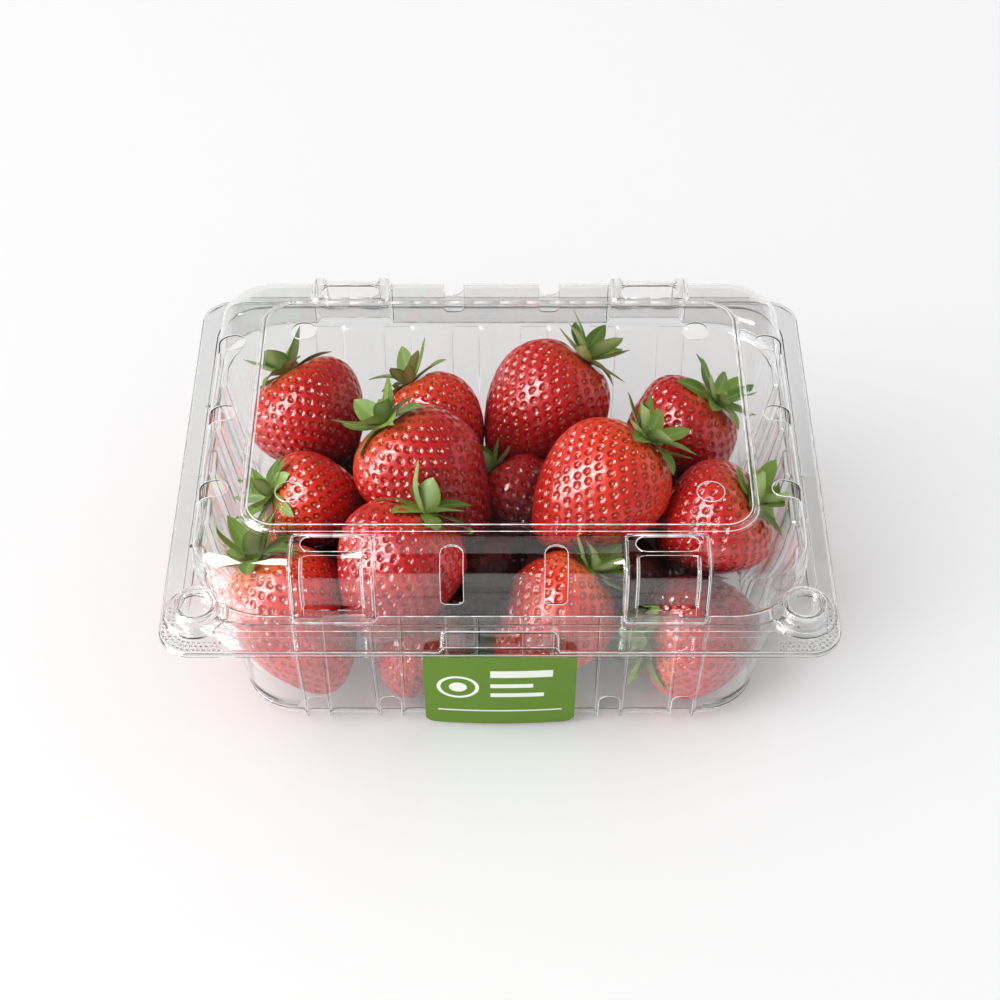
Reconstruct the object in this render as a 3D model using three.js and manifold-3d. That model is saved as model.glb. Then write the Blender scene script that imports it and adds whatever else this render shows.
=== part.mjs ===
// A shut clear punnet of strawberries: a fluted tub, a domed lid on a hinge along its back edge,
// a label on the front wall and the heap of fruit inside.
import * as THREE from 'three';
import { mergeVertices } from 'three/addons/utils/BufferGeometryUtils.js';
import Module from 'manifold-3d';

const wasm = await Module();
wasm.setup();

// Driving sizes in millimetres. X runs along the front, Y to the back and Z up, from the base's middle.
// film is the plastic's thickness, gap the space between pieces that meet, and seam the height where the
// tub's rim and the lid's rim lie on each other.
const film = 0.6;
const gap = 0.3;
const seam = 59;
const cornerSteps = 5;
const past = 2; // how far a cut runs past the face that it goes through
const tiny = 0.01; // keeps the straight stretch between two round ends from closing up
const rim = { halfX: 93.5, front: -73.15, back: 70.8, radius: 9 };
const hinge = { y: 71.95, radius: 1.2, halfLength: 80, sides: 12, lap: 0.8 };

const tubFoot = { halfX: 74.5, halfY: 49.5, radius: 15 };
const tubMouth = { halfX: 84.5, halfY: 58.4, radius: 20 };
const footRounding = [[0, 3.2], [0.9, 1.2], [3.4, 0]];
const flute = {
  proud: 1.3, depth: 4, footHalf: 4.6, topHalf: 5.3, taper: 0.7, footInset: 0.8, footHeight: 3,
};
const fluteSpacing = { front: 21.5, side: 19 };
const drain = { width: 6.3, height: 15, corner: 2.6, inward: 3.5, reach: 16 };

const domeBase = { halfX: 86.3, halfY: 60.15, radius: 22 };
const domeShoulder = { halfX: 84.6, halfY: 59.6, radius: 15 };
const shelfEdge = { halfX: 78.9, halfY: 54.4, radius: 11.6 };
const panelFoot = { halfX: 71.7, halfY: 47.4, radius: 10 };
const panelEdge = { halfX: 70.7, halfY: 46.4, radius: 9 };
const shelfHeight = seam + 20.3;
const lidHeight = seam + 22.3;
const shoulderDrop = 4.7; // the rounding between the shelf's edge and the shoulder
const shoulderSteps = 2;

const bead = { halfX: 88.5, halfY: 67.3, radius: 14, innerX: 85, innerY: 63.4, height: 1.4, slope: 0.5 };
const button = { x: 82.7, y: -58.6, pad: 9, outer: 6.4, top: 6, recess: 4.3, height: 3.1, sides: 14 };
const boss = { x: 45.5, halfX: 12.1, inner: 46.9, proud: 2.3, rise: 1, corner: 2.4 };
const bossSlot = { length: 17.5, width: 5.7, y: 51.7 };
const bossWindow = { halfX: 8.2, low: 65.2, high: 77, depth: 0.9, reach: 5 };
const thumbTab = { halfX: 16.5, topHalfX: 15.2, y: -66.9, rise: 2 };
const edgeSlot = {
  width: 6.3, length: 24, inFromShelfEdge: 3.9, frontLow: 64.6, sideSpacing: 30, sideLow: 67,
};
const edgeSlotX = { front: [-13.1, 15.3], back: [-14.3, 15.1] };
const panelHole = { x: 58.4, y: 33, radius: 3.85, sides: 10 };

const label = {
  halfX: 22, low: 1.6, high: 39.6, corner: 3, bulge: 1.1, thickness: 0.4, columns: 8, rows: 4,
};

const berryForm = { taper: 0.27, fullness: 0.965, dent: 2.2, dentWidth: 0.36 };
const shownFacets = { sides: 9, rings: 6 };
const buriedFacets = { sides: 6, rings: 5 };
const core = { halfX: 58, halfY: 17, radius: 12, low: 8, high: 31 };
const sepal = {
  count: 6, length: 11, width: 5.4, thickness: 0.8, start: 2, jitter: 0.24, tip: 0.25, steps: 2,
};
const sepalLayers = [
  { lift: 0.9, from: 0.2, to: -0.4, spread: 0.45 },
  { lift: 2.2, from: 0.45, to: 0.7, spread: 1 },
];
const stalk = { radius: 3, topRadius: 2, sunk: 2, height: 4.2, sides: 6 };

// Each berry: its middle, the way its green end points, its half length and its greatest radius.
const shownBerries = [
  { at: [-57.6, 29.9, 47.2], calyx: [-0.5, 0.6, 0.62], half: 17.5, radius: 18.5 }, // back left
  { at: [-19.3, 30, 41.8], calyx: [-0.46, 0.55, 0.7], half: 18.9, radius: 15.5 }, // back, the small one
  { at: [11.9, 31.4, 49.4], calyx: [0.63, 0.41, 0.66], half: 23, radius: 17.8 }, // back, the large one
  { at: [-20.5, -2.3, 52.4], calyx: [-0.59, 0.43, 0.68], half: 23.9, radius: 18.8 }, // middle left, on top
  { at: [7.5, 4, 33], calyx: [-0.64, 0.6, 0.5], half: 17, radius: 14.5 }, // middle, between the two on top
  { at: [28.2, -6.1, 53.2], calyx: [0.69, 0.37, 0.62], half: 23.1, radius: 17.6 }, // middle right, on top
  { at: [54.3, 26.5, 41.4], calyx: [0.64, 0.19, 0.75], half: 19.7, radius: 16.9 }, // back right
  { at: [62, -10.3, 42.9], calyx: [0.8, 0.08, 0.6], half: 17.7, radius: 17.7 }, // right end
  { at: [-54.8, 0.5, 40.6], calyx: [-0.87, -0.2, 0.45], half: 17, radius: 15.2 }, // left end
  { at: [-58.9, -34.8, 27.8], calyx: [-0.49, 0.48, 0.72], half: 23.5, radius: 18.4 }, // front left corner
  { at: [-30.1, -33.4, 46.6], calyx: [0.39, 0.52, 0.76], half: 21.6, radius: 18.3 }, // front, left
  { at: [15, -36, 29], calyx: [0.64, 0.4, 0.65], half: 20.8, radius: 16.6 }, // front, right
  { at: [60.2, -34.3, 21.2], calyx: [-0.93, -0.33, 0.12], half: 19.2, radius: 17.9 }, // front right corner
  { at: [-23.8, -32.8, 17], calyx: [0.3, 0.75, 0.5], half: 18.5, radius: 15.8 }, // low at the front
];
const buriedBerries = [
  { at: [-36, 8, 16.8], calyx: [0.2, 0.9, 0.3], half: 18, radius: 16 },
  { at: [-53, 30, 17], calyx: [-0.5, 0.3, 0.8], half: 17, radius: 15.3 },
  { at: [-62, -3, 14.4], calyx: [-0.3, -0.2, 0.9], half: 15, radius: 13.6 },
  { at: [-24, 36, 16], calyx: [0.8, 0.5, -0.2], half: 17, radius: 15.3 },
  { at: [11, 31, 18], calyx: [-0.6, 0.7, 0.3], half: 18, radius: 16.5 },
  { at: [43, 35, 15.8], calyx: [0.4, 0.8, -0.3], half: 17, radius: 15.3 },
  { at: [31, 2, 16], calyx: [-0.7, -0.6, 0.4], half: 17, radius: 15.3 },
  { at: [61, 8, 14.6], calyx: [0.9, 0.2, 0.2], half: 15.5, radius: 14 },
  { at: [-3, -14, 21], calyx: [-0.5, 0.6, 0.6], half: 17, radius: 15 },
  { at: [38, -16, 20], calyx: [0.5, 0.3, 0.8], half: 17, radius: 15 },
  { at: [56, 26, 22], calyx: [0.3, 0.8, 0.4], half: 16, radius: 14.3 },
];

const plastic = new THREE.MeshStandardMaterial({
  color: 0xe9eef0, roughness: 0.08, metalness: 0, transparent: true, opacity: 0.35,
});
const fruit = new THREE.MeshStandardMaterial({ color: 0xb3121a, roughness: 0.3, metalness: 0 });
const print = new THREE.MeshStandardMaterial({ color: 0x5f9130, roughness: 0.5, metalness: 0 });

// A repeatable draw between 0 and 1 for the number n.
function draw(n) {
  return Math.abs(Math.sin(n * 12.9898 + 4.1) * 437.585) % 1;
}

// The closed solid of a geometry, with shared vertices merged and collapsed triangles dropped.
function solidOf(geometry) {
  const plain = geometry.clone();
  plain.deleteAttribute('normal');
  plain.deleteAttribute('uv');
  const merged = mergeVertices(plain, 1e-3);
  const kept = [];
  for (let i = 0; i < merged.index.count; i += 3) {
    const [a, b, c] = [0, 1, 2].map((k) => merged.index.getX(i + k));
    if (a !== b && b !== c && a !== c) kept.push(a, b, c);
  }
  return new wasm.Manifold(new wasm.Mesh({
    numProp: 3,
    vertProperties: new Float32Array(merged.attributes.position.array),
    triVerts: new Uint32Array(kept),
  }));
}

function joined(solids) {
  return solids.reduce((whole, piece) => whole.add(piece));
}

function geometryOf(solid) {
  const mesh = solid.getMesh();
  const positions = new Float32Array(mesh.numVert * 3);
  for (let i = 0; i < mesh.numVert; i++) {
    positions.set(mesh.vertProperties.subarray(i * mesh.numProp, i * mesh.numProp + 3), i * 3);
  }
  const geometry = new THREE.BufferGeometry();
  geometry.setAttribute('position', new THREE.BufferAttribute(positions, 3));
  geometry.setIndex(new THREE.BufferAttribute(new Uint32Array(mesh.triVerts), 1));
  geometry.computeVertexNormals();
  return geometry;
}

// The solid's outer shell, with every hollow that its pieces shut in filled. Merging the vertices can
// close one more hollow that was open only through a pinched edge, so it goes on until none is left.
function filled(solid) {
  let shells = solid.decompose();
  let outer;
  do {
    outer = shells.reduce((most, shell) => (shell.volume() > most.volume() ? shell : most));
    shells = solidOf(geometryOf(outer)).decompose();
  } while (shells.length > 1);
  return outer;
}

// A rounded rectangle, anticlockwise seen from above, as [x, y] points.
function outline({ halfX, halfY, radius }, inset = 0, steps = cornerSteps, middleY = 0) {
  const points = [];
  const r = Math.max(radius - inset, 0.2);
  const corners = [[1, 1], [-1, 1], [-1, -1], [1, -1]];
  corners.forEach(([sx, sy], corner) => {
    const cx = sx * (halfX - inset - r);
    const cy = middleY + sy * (halfY - inset - r);
    for (let i = 0; i <= steps; i++) {
      const angle = (corner + i / steps) * Math.PI / 2;
      points.push([cx + r * Math.cos(angle), cy + r * Math.sin(angle)]);
    }
  });
  return points;
}

// A solid through rings of points with the same count, from the lowest to the highest. Each ring is
// [points, z].
function loft(rings) {
  const count = rings[0][0].length;
  const positions = [];
  const faces = [];
  rings.forEach(([points, z]) => points.forEach(([x, y]) => positions.push(x, y, z)));
  for (let k = 0; k + 1 < rings.length; k++) {
    for (let i = 0; i < count; i++) {
      const next = (i + 1) % count;
      const [a, b] = [k * count + i, k * count + next];
      faces.push(a, b, b + count, a, b + count, a + count);
    }
  }
  const last = (rings.length - 1) * count;
  for (let i = 1; i + 1 < count; i++) {
    faces.push(0, i + 1, i);
    faces.push(last, last + i, last + i + 1);
  }
  const geometry = new THREE.BufferGeometry();
  geometry.setAttribute('position', new THREE.Float32BufferAttribute(positions, 3));
  geometry.setIndex(faces);
  return solidOf(geometry);
}

// A flat-ended slot shape with round corners, centred on its own middle.
function slotShape(width, height, corner) {
  const shape = new THREE.Shape();
  const [x, y] = [width / 2, height / 2];
  shape.moveTo(-x + corner, -y);
  shape.lineTo(x - corner, -y);
  shape.absarc(x - corner, -y + corner, corner, -Math.PI / 2, 0);
  shape.lineTo(x, y - corner);
  shape.absarc(x - corner, y - corner, corner, 0, Math.PI / 2);
  shape.lineTo(-x + corner, y);
  shape.absarc(-x + corner, y - corner, corner, Math.PI / 2, Math.PI);
  shape.lineTo(-x, -y + corner);
  shape.absarc(-x + corner, -y + corner, corner, Math.PI, Math.PI * 1.5);
  return shape;
}

// A prism of a shape, standing on z = low.
function prism(shape, low, high, x = 0, y = 0, turn = 0) {
  const settings = { depth: high - low, bevelEnabled: false, curveSegments: 3 };
  const geometry = new THREE.ExtrudeGeometry(shape, settings);
  geometry.rotateZ(turn);
  geometry.translate(x, y, low);
  return solidOf(geometry);
}

function block(halfX, y0, y1, low, high, x = 0) {
  const geometry = new THREE.BoxGeometry(2 * halfX, Math.abs(y1 - y0), high - low);
  geometry.translate(x, (y0 + y1) / 2, (low + high) / 2);
  return solidOf(geometry);
}

function cylinder(radius, topRadius, low, high, x, y, sides) {
  const geometry = new THREE.CylinderGeometry(topRadius, radius, high - low, sides);
  geometry.rotateX(Math.PI / 2);
  geometry.translate(x, y, (low + high) / 2);
  return solidOf(geometry);
}

// The tub's wall at a height, between its foot and its mouth.
function wallAt(z) {
  const share = z / seam;
  const mix = (key) => THREE.MathUtils.lerp(tubFoot[key], tubMouth[key], share);
  return { halfX: mix('halfX'), halfY: mix('halfY'), radius: mix('radius') };
}

function tubBody(inset, floor, top) {
  const rings = footRounding.map(([z, foot]) => [outline(wallAt(z), foot + inset), z + floor]);
  rings.push([outline(wallAt(top), inset), top]);
  return loft(rings);
}

// The middles of the flutes: [distance along the wall, wall's turn about Z, wall's half width].
function fluteSpots() {
  const spots = [];
  for (let i = -2.5; i <= 2.5; i++) {
    const along = i * fluteSpacing.front;
    spots.push([along, 0, 'halfY'], [along, Math.PI, 'halfY']);
  }
  for (let i = -1.5; i <= 1.5; i++) {
    const along = i * fluteSpacing.side;
    spots.push([along, Math.PI / 2, 'halfX'], [along, -Math.PI / 2, 'halfX']);
  }
  return spots;
}

// One flute of the tub's wall, made on the front wall and turned to its own.
function fluteSolid([along, turn, half], inset, low, top) {
  const ring = (z, foot) => {
    const width = THREE.MathUtils.lerp(flute.footHalf, flute.topHalf, z / seam) - inset;
    const out = wallAt(z)[half] + flute.proud - inset - foot;
    const back = wallAt(z)[half] - flute.depth;
    return [[[along - width, -back], [along - width + flute.taper, -out],
      [along + width - flute.taper, -out], [along + width, -back]], z];
  };
  const lowest = ring(low, flute.footInset);
  const rings = [lowest, ring(low + flute.footHeight, 0), ring(top, 0)];
  return loft(rings).rotate([0, 0, THREE.MathUtils.radToDeg(turn)]);
}

// The hole through a flute's foot, which runs a little way under the floor.
function drainCut([along, turn, half]) {
  const shape = slotShape(drain.width, 2 * drain.height, drain.corner);
  const settings = { depth: drain.reach, bevelEnabled: false, curveSegments: 2 };
  const geometry = new THREE.ExtrudeGeometry(shape, settings);
  geometry.rotateX(Math.PI / 2);
  geometry.translate(along, -(tubFoot[half] - drain.inward), 0);
  geometry.rotateZ(turn);
  return solidOf(geometry);
}

function rimSlab(low, high, back) {
  const halfY = (back - rim.front) / 2;
  const middle = (back + rim.front) / 2;
  const points = outline({ halfX: rim.halfX, halfY, radius: rim.radius }, 0, cornerSteps, middle);
  return loft([[points, low], [points, high]]);
}

function makeTub() {
  const top = seam - gap / 2;
  const spots = fluteSpots();
  const outside = joined([tubBody(0, 0, top), rimSlab(top - film, top, hinge.y - hinge.radius - gap),
    ...spots.map((spot) => fluteSolid(spot, 0, 0, top))]);
  const inside = joined([tubBody(film, film, seam + past),
    ...spots.map((spot) => fluteSolid(spot, film, film, seam + past))]);
  return outside.subtract(inside).subtract(joined(spots.map(drainCut)));
}

// The lid's rounding from its shoulder up to the shelf's edge, as [share of the way out, drop] pairs.
function shoulderArc() {
  const pairs = [];
  for (let i = 0; i <= shoulderSteps; i++) {
    const angle = (1 - i / shoulderSteps) * Math.PI / 2;
    pairs.push([Math.sin(angle), shoulderDrop * (1 - Math.cos(angle))]);
  }
  return pairs;
}

function domeSolid(inset, low) {
  const shelf = shelfHeight - inset;
  const size = (share, key) => THREE.MathUtils.lerp(shelfEdge[key], domeShoulder[key], share);
  const rings = [[outline(domeBase, inset), low]];
  for (const [share, drop] of shoulderArc()) {
    const form = { halfX: size(share, 'halfX'), halfY: size(share, 'halfY'), radius: size(share, 'radius') };
    rings.push([outline(form, inset), shelf - drop]);
  }
  rings.push([outline(panelFoot, inset), shelf], [outline(panelEdge, inset), lidHeight - inset]);
  return loft(rings);
}

function bossSolid(x, side, inset, low) {
  const ring = (share, z) => {
    const outer = THREE.MathUtils.lerp(shelfEdge.halfY, domeShoulder.halfY, share) + boss.proud * share;
    const halfY = (outer - boss.inner) / 2;
    const middle = side * (outer + boss.inner) / 2;
    const points = outline({ halfX: boss.halfX, halfY, radius: boss.corner }, inset, 2, middle);
    return [points.map(([px, py]) => [px + x, py]), z];
  };
  const top = shelfHeight + boss.rise - inset;
  const rings = shoulderArc().map(([share, drop]) => ring(share, top - drop));
  return loft([ring(1, low), ...rings]);
}

// The shallow window pressed into a boss's outer face, as the block that takes it away.
function bossWindowCut(x, side, inset) {
  const face = domeShoulder.halfY + boss.proud - bossWindow.depth - inset;
  const [low, high] = [bossWindow.low - inset, bossWindow.high + inset];
  return block(bossWindow.halfX + inset, side * face, side * (face + bossWindow.reach), low, high, x);
}

function beadSolid(inset, low) {
  const top = seam + gap / 2 + film + bead.height - inset;
  const ring = loft([[outline(bead, inset), low], [outline(bead, inset + bead.slope), top]]);
  const middle = outline({ halfX: bead.innerX, halfY: bead.innerY, radius: domeBase.radius }, -inset);
  return ring.subtract(loft([[middle, low - past], [middle, top + past]]));
}

// The snap button: a ring on a round pad, in each front corner of the rim.
function buttonSolids(x, low) {
  const padTop = seam + gap / 2 + film + bead.height;
  const ringTop = padTop + button.height;
  const { y, pad, outer, top, recess, sides } = button;
  const padSolid = cylinder(pad, pad - bead.slope, low, padTop, x, y, sides);
  const padHollow = cylinder(pad - film, pad - film - bead.slope, low, padTop - film, x, y, sides);
  const ringSolid = cylinder(outer, top, padTop - film, ringTop, x, y, sides);
  const ringHollow = cylinder(outer - film, top - film, low, ringTop - film, x, y, sides)
    .subtract(cylinder(recess + film, recess + film, padTop - film, ringTop, x, y, sides));
  return {
    outside: [padSolid, ringSolid],
    inside: [padHollow, ringHollow],
    recess: cylinder(recess, recess, padTop, ringTop + past, x, y, sides),
  };
}

function thumbTabSolid(inset, low, front) {
  const top = seam + gap / 2 + film + thumbTab.rise - inset;
  const back = thumbTab.y - inset;
  const rectangle = (half) => [[-half, front], [half, front], [half, back], [-half, back]];
  return loft([[rectangle(thumbTab.halfX - inset), low], [rectangle(thumbTab.topHalfX - inset), top]]);
}

// A slot that runs from the lid's shelf over its edge and down the wall.
function edgeSlotCut(along, turn, half, low) {
  const inner = shelfEdge[half] - edgeSlot.inFromShelfEdge;
  const shape = slotShape(edgeSlot.width, edgeSlot.length, edgeSlot.width / 2 - tiny);
  const slot = prism(shape, low, lidHeight + past, along, -(inner + edgeSlot.length / 2));
  return slot.rotate([0, 0, THREE.MathUtils.radToDeg(turn)]);
}

function makeLid() {
  const under = seam + gap / 2;
  const cutLow = seam - past;
  const corners = [];
  for (const sx of [-1, 1]) for (const sy of [-1, 1]) corners.push([sx, sy]);
  const buttons = [-1, 1].map((side) => buttonSolids(side * button.x, under));
  const hollows = [-1, 1].map((side) => buttonSolids(side * button.x, cutLow));
  const roll = new THREE.CylinderGeometry(hinge.radius, hinge.radius, 2 * hinge.halfLength, hinge.sides);
  roll.rotateZ(Math.PI / 2);
  roll.translate(0, hinge.y, seam);

  const bossOutside = corners.map(([sx, sy]) => bossSolid(sx * boss.x, sy, 0, under)
    .subtract(bossWindowCut(sx * boss.x, sy, 0)));
  const bossInside = corners.map(([sx, sy]) => bossSolid(sx * boss.x, sy, film, cutLow)
    .subtract(bossWindowCut(sx * boss.x, sy, film)));
  const outside = joined([rimSlab(under, under + film, rim.back), domeSolid(0, under), beadSolid(0, under),
    thumbTabSolid(0, under, rim.front), ...bossOutside, ...buttons.flatMap((b) => b.outside)]);
  const inside = joined([domeSolid(film, cutLow), beadSolid(film, cutLow),
    thumbTabSolid(film, cutLow, rim.front - past), ...bossInside, ...hollows.flatMap((b) => b.inside)]);
  const hingeFlap = block(hinge.halfLength, rim.back - hinge.lap, hinge.y, under, under + film);

  const cuts = buttons.map((b) => b.recess);
  for (const [sx, sy] of corners) {
    const slot = slotShape(bossSlot.length, bossSlot.width, bossSlot.width / 2 - tiny);
    cuts.push(prism(slot, shelfHeight - past, lidHeight + past, sx * boss.x, sy * bossSlot.y));
    cuts.push(cylinder(panelHole.radius, panelHole.radius, lidHeight - past, lidHeight + past,
      sx * panelHole.x, sy * panelHole.y, panelHole.sides));
  }
  for (const x of edgeSlotX.front) cuts.push(edgeSlotCut(x, 0, 'halfY', edgeSlot.frontLow));
  for (const x of edgeSlotX.back) cuts.push(edgeSlotCut(-x, Math.PI, 'halfY', edgeSlot.frontLow));
  for (const side of [-1, 1]) {
    for (const step of [-1, 0, 1]) {
      cuts.push(edgeSlotCut(step * edgeSlot.sideSpacing, side * Math.PI / 2, 'halfX', edgeSlot.sideLow));
    }
  }
  return outside.subtract(inside).add(joined([solidOf(roll), hingeFlap])).subtract(joined(cuts));
}

// The label lies on the flutes of the front wall and bows out a little between its sides.
function makeLabel() {
  const { halfX, low, high, corner, bulge, thickness, columns, rows } = label;
  const sheet = (x, share, lift) => {
    const edge = Math.max(0, Math.abs(x) - (halfX - corner)) / corner;
    const drop = corner * (1 - Math.sqrt(1 - edge * edge));
    const z = THREE.MathUtils.lerp(low + drop, high - drop, share);
    const face = wallAt(z).halfY + flute.proud + gap + bulge * (1 - (x / halfX) ** 2);
    return [x, -(face + lift), z];
  };
  const positions = [];
  const faces = [];
  const span = columns + 1;
  for (const lift of [0, thickness]) {
    for (let row = 0; row <= rows; row++) {
      for (let i = 0; i <= columns; i++) {
        positions.push(...sheet(-halfX * Math.cos(Math.PI * i / columns), row / rows, lift));
      }
    }
  }
  const layer = span * (rows + 1);
  const quad = (a, b, c, d) => faces.push(a, b, c, a, c, d);
  for (let row = 0; row < rows; row++) {
    for (let i = 0; i < columns; i++) {
      const a = row * span + i;
      quad(a, a + span, a + span + 1, a + 1);
      quad(layer + a, layer + a + 1, layer + a + span + 1, layer + a + span);
    }
    const [left, right] = [row * span, row * span + columns];
    quad(left, layer + left, layer + left + span, left + span);
    quad(right, right + span, layer + right + span, layer + right);
  }
  for (let i = 0; i < columns; i++) {
    const top = rows * span + i;
    quad(i, i + 1, layer + i + 1, layer + i);
    quad(top, layer + top, layer + top + 1, top + 1);
  }
  const geometry = new THREE.BufferGeometry();
  geometry.setAttribute('position', new THREE.Float32BufferAttribute(positions, 3));
  geometry.setIndex(faces);
  return solidOf(geometry);
}

// A berry's outline as [radius, height], for an angle from 0 at the green end, where it is dented, to pi
// at the tip.
function berryProfile(angle, half, radius) {
  const { taper, fullness, dent, dentWidth } = berryForm;
  const r = radius * fullness * Math.sin(angle) * (1 + taper * Math.cos(angle));
  const dentHere = Math.cos(angle) > 0 ? dent * Math.exp(-((r / (dentWidth * radius)) ** 2)) : 0;
  return [r, half * Math.cos(angle) - dentHere];
}

// Turns and moves a shape that was made along +Z to a berry's own place.
function placed(solid, berry) {
  const turn = new THREE.Quaternion().setFromUnitVectors(
    new THREE.Vector3(0, 0, 1), new THREE.Vector3(...berry.calyx).normalize());
  const place = new THREE.Vector3(...berry.at);
  const matrix = new THREE.Matrix4().compose(place, turn, new THREE.Vector3(1, 1, 1));
  return solid.transform(matrix.elements);
}

function berryBody(berry, { sides, rings }) {
  const points = [];
  for (let i = 0; i <= rings; i++) {
    const [r, h] = berryProfile(Math.PI * (1 - i / rings), berry.half, berry.radius);
    points.push(new THREE.Vector2(i === 0 || i === rings ? 0 : r, h));
  }
  return placed(solidOf(new THREE.LatheGeometry(points, sides)), berry);
}

// One green sepal: a thin leaf that starts by the stalk and bends along its length. The sepals lie in two
// layers by turns, the lower one on the fruit and the upper one curling up.
function sepalSolid(berry, number, seed) {
  const around = 2 * Math.PI * (number + sepal.jitter * (draw(seed) - 0.5)) / sepal.count;
  const length = sepal.length * (0.8 + 0.45 * draw(seed + 0.3));
  const width = sepal.width * (0.85 + 0.3 * draw(seed + 0.6));
  const layer = sepalLayers[number % 2];
  const bendFrom = layer.from;
  const bendTo = layer.to + layer.spread * draw(seed + 0.8);
  const root = berryProfile(0, berry.half, berry.radius)[1] + layer.lift;
  const rings = [0, 0.55, 1].map((s) => {
    const bend = bendFrom + (bendTo - bendFrom) * s;
    const turned = bendTo - bendFrom;
    const out = sepal.start + length * (Math.sin(bend) - Math.sin(bendFrom)) / turned;
    const up = root + length * (Math.cos(bendFrom) - Math.cos(bend)) / turned;
    const half = Math.max(sepal.tip, width / 2 * (0.35 + 1.6 * s) * (1 - s ** 2.6));
    const thick = sepal.thickness * (1 - 0.5 * s);
    const normal = [-Math.sin(bend), Math.cos(bend)];
    return [[-half, 0], [half, 0], [half, thick], [-half, thick]]
      .map(([across, lift]) => [out + lift * normal[0], across, up + lift * normal[1]]);
  });
  const positions = rings.flat(2);
  const faces = [0, 2, 1, 0, 3, 2, 8, 9, 10, 8, 10, 11];
  for (let k = 0; k < sepal.steps; k++) {
    for (let i = 0; i < 4; i++) {
      const [a, b] = [4 * k + i, 4 * k + (i + 1) % 4];
      faces.push(a, b, b + 4, a, b + 4, a + 4);
    }
  }
  const geometry = new THREE.BufferGeometry();
  geometry.setAttribute('position', new THREE.Float32BufferAttribute(positions, 3));
  geometry.setIndex(faces);
  geometry.rotateZ(around);
  return placed(solidOf(geometry), berry);
}

// The stump of a berry's stalk, which the sepals grow out of.
function stalkSolid(berry) {
  const root = berryProfile(0, berry.half, berry.radius)[1];
  const { radius, topRadius, sunk, height, sides } = stalk;
  return placed(cylinder(radius, topRadius, root - sunk, root + height, 0, 0, sides), berry);
}

// The room inside the closed pack, a small gap clear of its walls.
function packRoom() {
  const inset = film + gap;
  return tubBody(inset, inset, seam).add(domeSolid(inset, seam - 1));
}

function makeHeap() {
  const corePoints = outline(core);
  const pieces = [loft([[corePoints, core.low], [corePoints, core.high]])];
  shownBerries.forEach((berry, index) => {
    pieces.push(berryBody(berry, shownFacets), stalkSolid(berry));
    for (let i = 0; i < sepal.count; i++) pieces.push(sepalSolid(berry, i, index * 20 + i));
  });
  buriedBerries.forEach((berry) => pieces.push(berryBody(berry, buriedFacets)));
  return filled(joined(pieces).intersect(packRoom()));
}

function named(name, solid, material) {
  const mesh = new THREE.Mesh(geometryOf(solid), material);
  mesh.name = name;
  return mesh;
}

const punnet = new THREE.Group();
punnet.name = 'punnet';
punnet.add(
  named('tub', makeTub(), plastic),
  named('lid', makeLid(), plastic),
  named('label', makeLabel(), print),
  named('strawberries', makeHeap(), fruit),
);

export default punnet;
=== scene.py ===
# Clear hinged punnet heaped with strawberries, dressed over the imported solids
import math

import bpy
import bmesh
import numpy as np
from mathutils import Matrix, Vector
from mathutils.geometry import delaunay_2d_cdt


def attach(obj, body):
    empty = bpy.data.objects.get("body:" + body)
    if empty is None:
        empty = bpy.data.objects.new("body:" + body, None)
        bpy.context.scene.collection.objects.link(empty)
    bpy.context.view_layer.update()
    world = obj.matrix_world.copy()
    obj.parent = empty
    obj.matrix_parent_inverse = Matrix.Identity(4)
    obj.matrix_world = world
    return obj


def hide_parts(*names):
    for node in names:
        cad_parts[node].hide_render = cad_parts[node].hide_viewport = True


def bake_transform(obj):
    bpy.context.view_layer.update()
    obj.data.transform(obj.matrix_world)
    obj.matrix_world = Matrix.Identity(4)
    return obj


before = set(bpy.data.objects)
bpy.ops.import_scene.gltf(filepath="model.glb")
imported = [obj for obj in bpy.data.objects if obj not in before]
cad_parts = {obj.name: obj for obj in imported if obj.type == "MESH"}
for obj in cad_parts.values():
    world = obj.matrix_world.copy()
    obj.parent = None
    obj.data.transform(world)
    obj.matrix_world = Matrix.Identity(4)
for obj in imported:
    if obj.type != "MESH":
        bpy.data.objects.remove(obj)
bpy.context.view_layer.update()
mm = 0.001
seam = 59.0  # height where the two rims lie on each other
print("frame loaded")


# camera

cameraSettings = {
    "place": (0.0, -0.43265, 0.5032),
    "tiltFromStraightDown": 43.2,
    "lens": 75.64,
}


def makeCamera():
    data = bpy.data.cameras.new("photo_camera")
    data.lens = cameraSettings["lens"]
    data.sensor_width = 36
    camera = bpy.data.objects.new("photo_camera", data)
    camera.location = cameraSettings["place"]
    camera.rotation_euler = (math.radians(cameraSettings["tiltFromStraightDown"]), 0, 0)
    bpy.context.scene.collection.objects.link(camera)
    bpy.context.scene.camera = camera


makeCamera()


# shader helpers

def node(tree, kind, inputs=None, **options):
    made = tree.nodes.new("ShaderNode" + kind)
    for key, value in options.items():
        setattr(made, key, value)
    for key, value in (inputs or {}).items():
        if isinstance(value, bpy.types.NodeSocket):
            tree.links.new(value, made.inputs[key])
        else:
            made.inputs[key].default_value = value
    return made


def attribute(tree, name):
    return node(tree, "Attribute", attribute_name=name).outputs["Fac"]


def mixColour(tree, share, a, b, kind="MIX"):
    made = node(tree, "MixRGB", {"Fac": share, "Color1": a, "Color2": b}, blend_type=kind)
    return made.outputs["Color"]


def maths(tree, operation, *values):
    return node(tree, "Math", dict(enumerate(values)), operation=operation).outputs[0]


def times(tree, a, b):
    return maths(tree, "MULTIPLY", a, b)


def plus(tree, a, b):
    return maths(tree, "ADD", a, b)


def minus(tree, a, b):
    return maths(tree, "SUBTRACT", a, b)


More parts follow.
